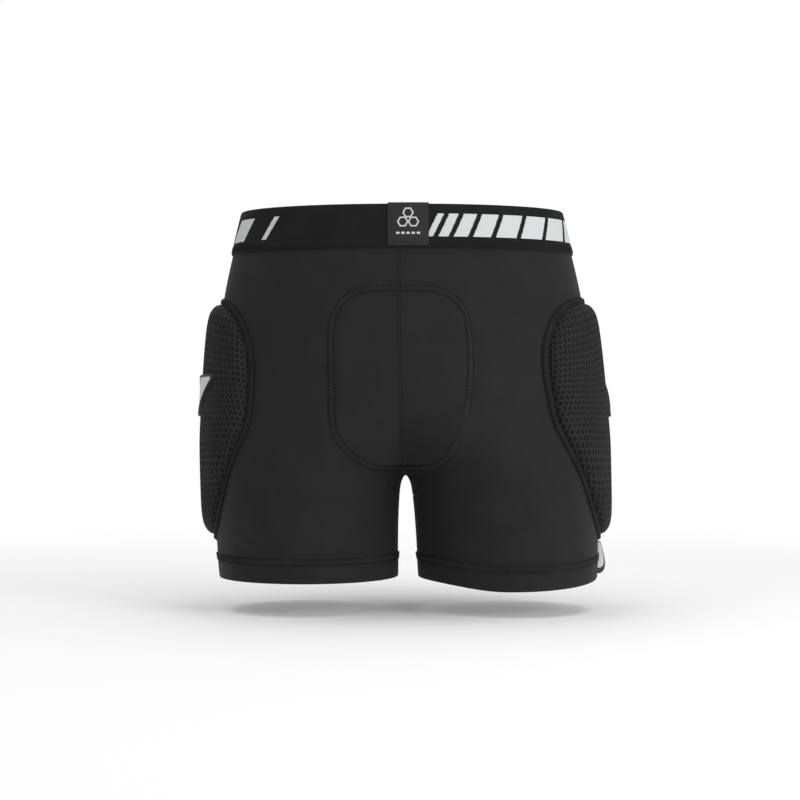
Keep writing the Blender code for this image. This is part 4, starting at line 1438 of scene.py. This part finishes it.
def spread_puff(coarse: Array, spokes: int, shares: Array) -> Array:
    """Puffing of a coarse disc, read between its rings and spokes for a finer disc."""
    rings, few = coarse.shape
    coarse_shares = HipPad.ring_shares(rings)
    at = np.arange(spokes) * few / spokes
    low = at.astype(int)
    part = at - low
    across = coarse[:, low % few] * (1 - part) + coarse[:, (low + 1) % few] * part
    i = np.clip(np.searchsorted(coarse_shares, shares) - 1, 0, rings - 2)
    t = (shares - coarse_shares[i]) / (coarse_shares[i + 1] - coarse_shares[i])
    return across[i] * (1 - t)[:, None] + across[i + 1] * t[:, None]


@dataclass(frozen=True)
class PadPuffing:
    """Cloth simulation that swells the pad's cover, read as how far each point of the face rose."""

    spokes: int = 96
    rings: int = 26
    pressure: float = 4.0
    frames: int = 20
    most: float = 0.0016
    shrink: float = 0.0008
    softness: float = 0.012

    def run(self) -> Array:
        """Inflate a slightly smaller pad, pinned at its base, and measure the rise.
        """
        flat = np.zeros((self.rings, self.spokes))
        shares = HipPad.ring_shares(self.rings)
        patch = HipPad(Side.LEFT, flat).cushion(flat - self.shrink, self.spokes, shares, 0.0)
        face_count = 1 + (self.rings - 1) * self.spokes
        cover = self.cover(patch, face_count)
        scene = bpy.context.scene
        for number in range(1, self.frames + 1):
            scene.frame_set(number)
        graph = bpy.context.evaluated_depsgraph_get()
        swollen = np.empty(len(patch.points) * 3, np.float32)
        cover.evaluated_get(graph).data.vertices.foreach_get("co", swollen)
        moved = np.linalg.norm(swollen.reshape(-1, 3) - patch.points, axis=1)[:face_count]
        scene.frame_set(1)
        bpy.data.objects.remove(cover, do_unlink=True)
        LOG.info("puffing rose by up to %.2f mm", moved.max() * 1000)
        rise = self.most * (1 - np.exp(-moved / self.softness))
        rings = np.concatenate([np.full((1, self.spokes), rise[0]),
                                rise[1:].reshape(self.rings - 1, self.spokes)])
        return rings - self.shrink

    def cover(self, patch: Patch, face_count: int) -> bpy.types.Object:
        """The cloth object: the patch, with its base pinned and pressure inside."""
        mesh = bpy.data.meshes.new("puffing")
        faces = [tuple(row) for face in patch.faces for row in face.tolist()]
        mesh.from_pydata(patch.points.tolist(), [], faces)
        cover = linked("puffing", mesh)
        pins = cover.vertex_groups.new(name="base")
        pins.add(list(range(face_count, len(patch.points))), 1.0, "REPLACE")
        cloth = cover.modifiers.new("cloth", "CLOTH")
        cloth.settings.use_pressure = True
        cloth.settings.uniform_pressure_force = self.pressure
        cloth.settings.effector_weights.gravity = 0.0
        cloth.settings.vertex_group_mass = pins.name
        cloth.settings.quality = 6
        cloth.collision_settings.use_collision = False
        return cover


@dataclass
class HemTab:
    """The small folded tab in the right leg's side seam, just above the hem edge."""

    height: float = 0.0303
    reach: float = 0.0070
    wall: float = 0.0016
    rise: float = 0.0025
    lean: float = math.radians(15)
    laid: float = 0.0008
    edge_width: float = 0.0006
    low_width: float = 0.0046
    low_share: float = 0.5

    def outline(self, shrink: float, edged: bool = False) -> Array:
        """Rows of distance out and height round the tab, inside a margin.

        With the edge tape counted in, the margin is widest round the lower end.
        """
        knots = np.array([(-0.18, 0.0), (0.45, 0.02), (0.86, 0.12), (1.0, 0.27), (0.92, 0.45), (0.62, 0.73),
                          (0.30, 0.99), (0.0, 1.0), (-0.18, 0.94), (-0.18, 0.5), (-0.18, 0.06)])
        curve = closed_outline(knots * (self.reach, self.height), 72)
        middle = curve.mean(axis=0)
        size = np.linalg.norm(curve - middle, axis=1, keepdims=True)
        low = np.clip(1 - curve[:, 1:] / (self.low_share * self.height), 0, 1) ** 1.5
        margin = shrink + (self.edge_width + self.low_width * low if edged else 0.0)
        return middle + (curve - middle) * (1 - margin / size)

    def build(self) -> None:
        """A rounded leaf: an edge tape all round, and a pale face inside it on both sides."""
        edge = [(0.0004, -0.8), (0.0, -0.4), (0.0, 0.4), (0.0004, 0.8)]
        rows = [self.placed(self.outline(shrink), share) for shrink, share in edge]
        inner = [self.placed(self.outline(0.0004, edged=True), share) for share in (0.9, -0.9)]
        cloth = np.zeros((len(rows) + 2, 72, 2)) + np.arange(72)[:, None] * 0.0009
        patch = grid(np.stack([*rows, inner[0], inner[1]]), cloth, wrap_rows=True, wrap_columns=True)
        tape = put("tab_edge", patch.mirrored(Side.RIGHT), TAB_EDGE, closed=True)
        faces = []
        for share in (1.0, -1.0):
            rings = [self.placed(self.outline(shrink, edged=True), share * (1.0 - 0.15 * (k > 2)))
                     for k, shrink in enumerate((0.0020, 0.0014, 0.0006, 0.0002))]
            middle = np.broadcast_to(rings[0].mean(axis=0), rings[0].shape)
            points = np.stack([middle, *rings])
            faces.append(capped_disc(points, points[..., 1:]))
        pale = put("tab_face", join(faces).mirrored(Side.RIGHT), TAB_FACE)
        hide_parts("hem_tab")
        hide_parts("hem_tab")

    def placed(self, outline: Array, share: float) -> Array:
        """Points of an outline on the tab, a share of its half wall to one side."""
        z = BODY.hem + self.rise + outline[:, 1]
        root = lifted(BODY.around, math.pi, z, self.laid)
        out = np.array((math.cos(self.lean), math.sin(self.lean), 0.0))
        aside = np.array((-math.sin(self.lean), math.cos(self.lean), 0.0))
        return root + outline[:, :1] * out + aside * share * self.wall / 2


@dataclass
class Studio:
    """Pale floor that fades into a white room, soft lights and the camera."""

    floor_gap: float = 0.0245
    floor_radius: float = 2.6
    camera_place: tuple[float, float, float] = (-0.042, 2.0, -0.1572)
    camera_aim: tuple[float, float, float] = (0.0018, 0.0, -0.1572)
    lens: float = 94.7

    def build(self) -> None:
        """Set up the floor, the room's light, the lamps and the camera."""
        self.build_floor()
        self.build_room()
        self.lamp("key", (-1.3, 1.3, 0.15), (1.0, 1.0), 17.5)
        self.lamp("fill", (1.2, 1.3, 0.6), (1.2, 1.2), 1.5)
        self.lamp("top", (0.0, 0.2, 1.5), (2.4, 2.4), 23.0)
        self.lamp("front", (0.2, -1.6, 0.6), (1.4, 1.4), 5.0)
        self.build_camera()

    def build_floor(self) -> None:
        """A disc of pale floor just under the hems."""
        lowest = min(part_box(node)[0][2] for node in ("panel_left", "panel_right"))
        mesh = bpy.data.meshes.new("floor")
        turn = np.linspace(0, 2 * math.pi, 64, endpoint=False)
        level = (lowest - self.floor_gap) / self.floor_radius
        ring = gather(np.cos(turn), np.sin(turn), level) * self.floor_radius
        mesh.from_pydata(ring.tolist(), [], [tuple(range(64))])
        floor = linked("floor", mesh)
        material = bpy.data.materials.new("floor_paper")
        graph = Graph(material)
        graph.feed(graph.shader, {
            "Roughness": 0.9,
            "Specular IOR Level": 0.1,
            "Base Color": (0.96, 0.96, 0.96),
            "Emission Color": WHITE,
            "Emission Strength": 0.06,
        })
        away = graph.rise(graph.vector("LENGTH", graph.place()), 0.45, 1.4)
        glow = graph.made("ShaderNodeEmission", {"Color": WHITE, "Strength": 1.0})
        self.show(graph, away, graph.shader, glow, "Material Output")
        mesh.materials.append(material)

    @staticmethod
    def show(graph: Graph, share: Socket, first: bpy.types.Node, second: bpy.types.Node, output: str) -> None:
        """Send the output a mix that goes from the first shader to the second."""
        inputs = {0: share, 1: first.outputs[0], 2: second.outputs[0]}
        mixed = graph.made("ShaderNodeMixShader", inputs)
        graph.feed(graph.nodes[output], {"Surface": mixed.outputs[0]})

    def build_room(self) -> None:
        """White all round for the eye, and softer as light."""
        world = bpy.data.worlds.new("room")
        bpy.context.scene.world = world
        graph = Graph(world)
        seen = graph.nodes["Background"]
        graph.feed(seen, {"Color": WHITE})
        light = graph.made("ShaderNodeBackground", {"Color": WHITE, "Strength": 0.36})
        path = graph.made("ShaderNodeLightPath", {})
        self.show(graph, path.outputs["Is Camera Ray"], light, seen, "World Output")
        bpy.context.scene.view_settings.view_transform = "Standard"

    def lamp(self, name: str, place: Sequence[float], size: Sequence[float], power: float) -> None:
        """A square soft light that faces the shorts."""
        data = bpy.data.lights.new(name, "AREA")
        data.shape = "RECTANGLE"
        data.size, data.size_y = size
        data.energy = power
        lamp = linked(name, data)
        lamp.location = place
        lamp.rotation_euler = self.facing(place, self.camera_aim)

    @staticmethod
    def facing(place: Sequence[float], aim: Sequence[float]) -> tuple[float, float, float]:
        """Turn that points an object's -Z from a place to its aim, with its +Y up."""
        run = np.array(aim, float) - np.array(place, float)
        turn = math.atan2(run[1], run[0]) - math.pi / 2
        lift = math.atan2(run[2], math.hypot(run[0], run[1]))
        return (math.pi / 2 + lift, 0.0, turn)

    def build_camera(self) -> None:
        """The camera, level and a little to the wearer's right."""
        data = bpy.data.cameras.new("camera")
        data.lens = self.lens
        data.sensor_width = 36.0
        camera = linked("camera", data)
        camera.location = self.camera_place
        camera.rotation_euler = self.facing(self.camera_place, self.camera_aim)
        bpy.context.scene.camera = camera


def main() -> None:
    """Build every sub-assembly in order."""
    logging.basicConfig(level=logging.INFO, format="%(name)s %(message)s")
    ShortsShell().build()
    SeatPad().build()
    Waistband().build()
    puff = PadPuffing().run()
    for side in Side:
        HipPad(side, puff).build()
    HemTab().build()
    Studio().build()
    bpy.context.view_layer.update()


if __name__ == "__main__":
    main()
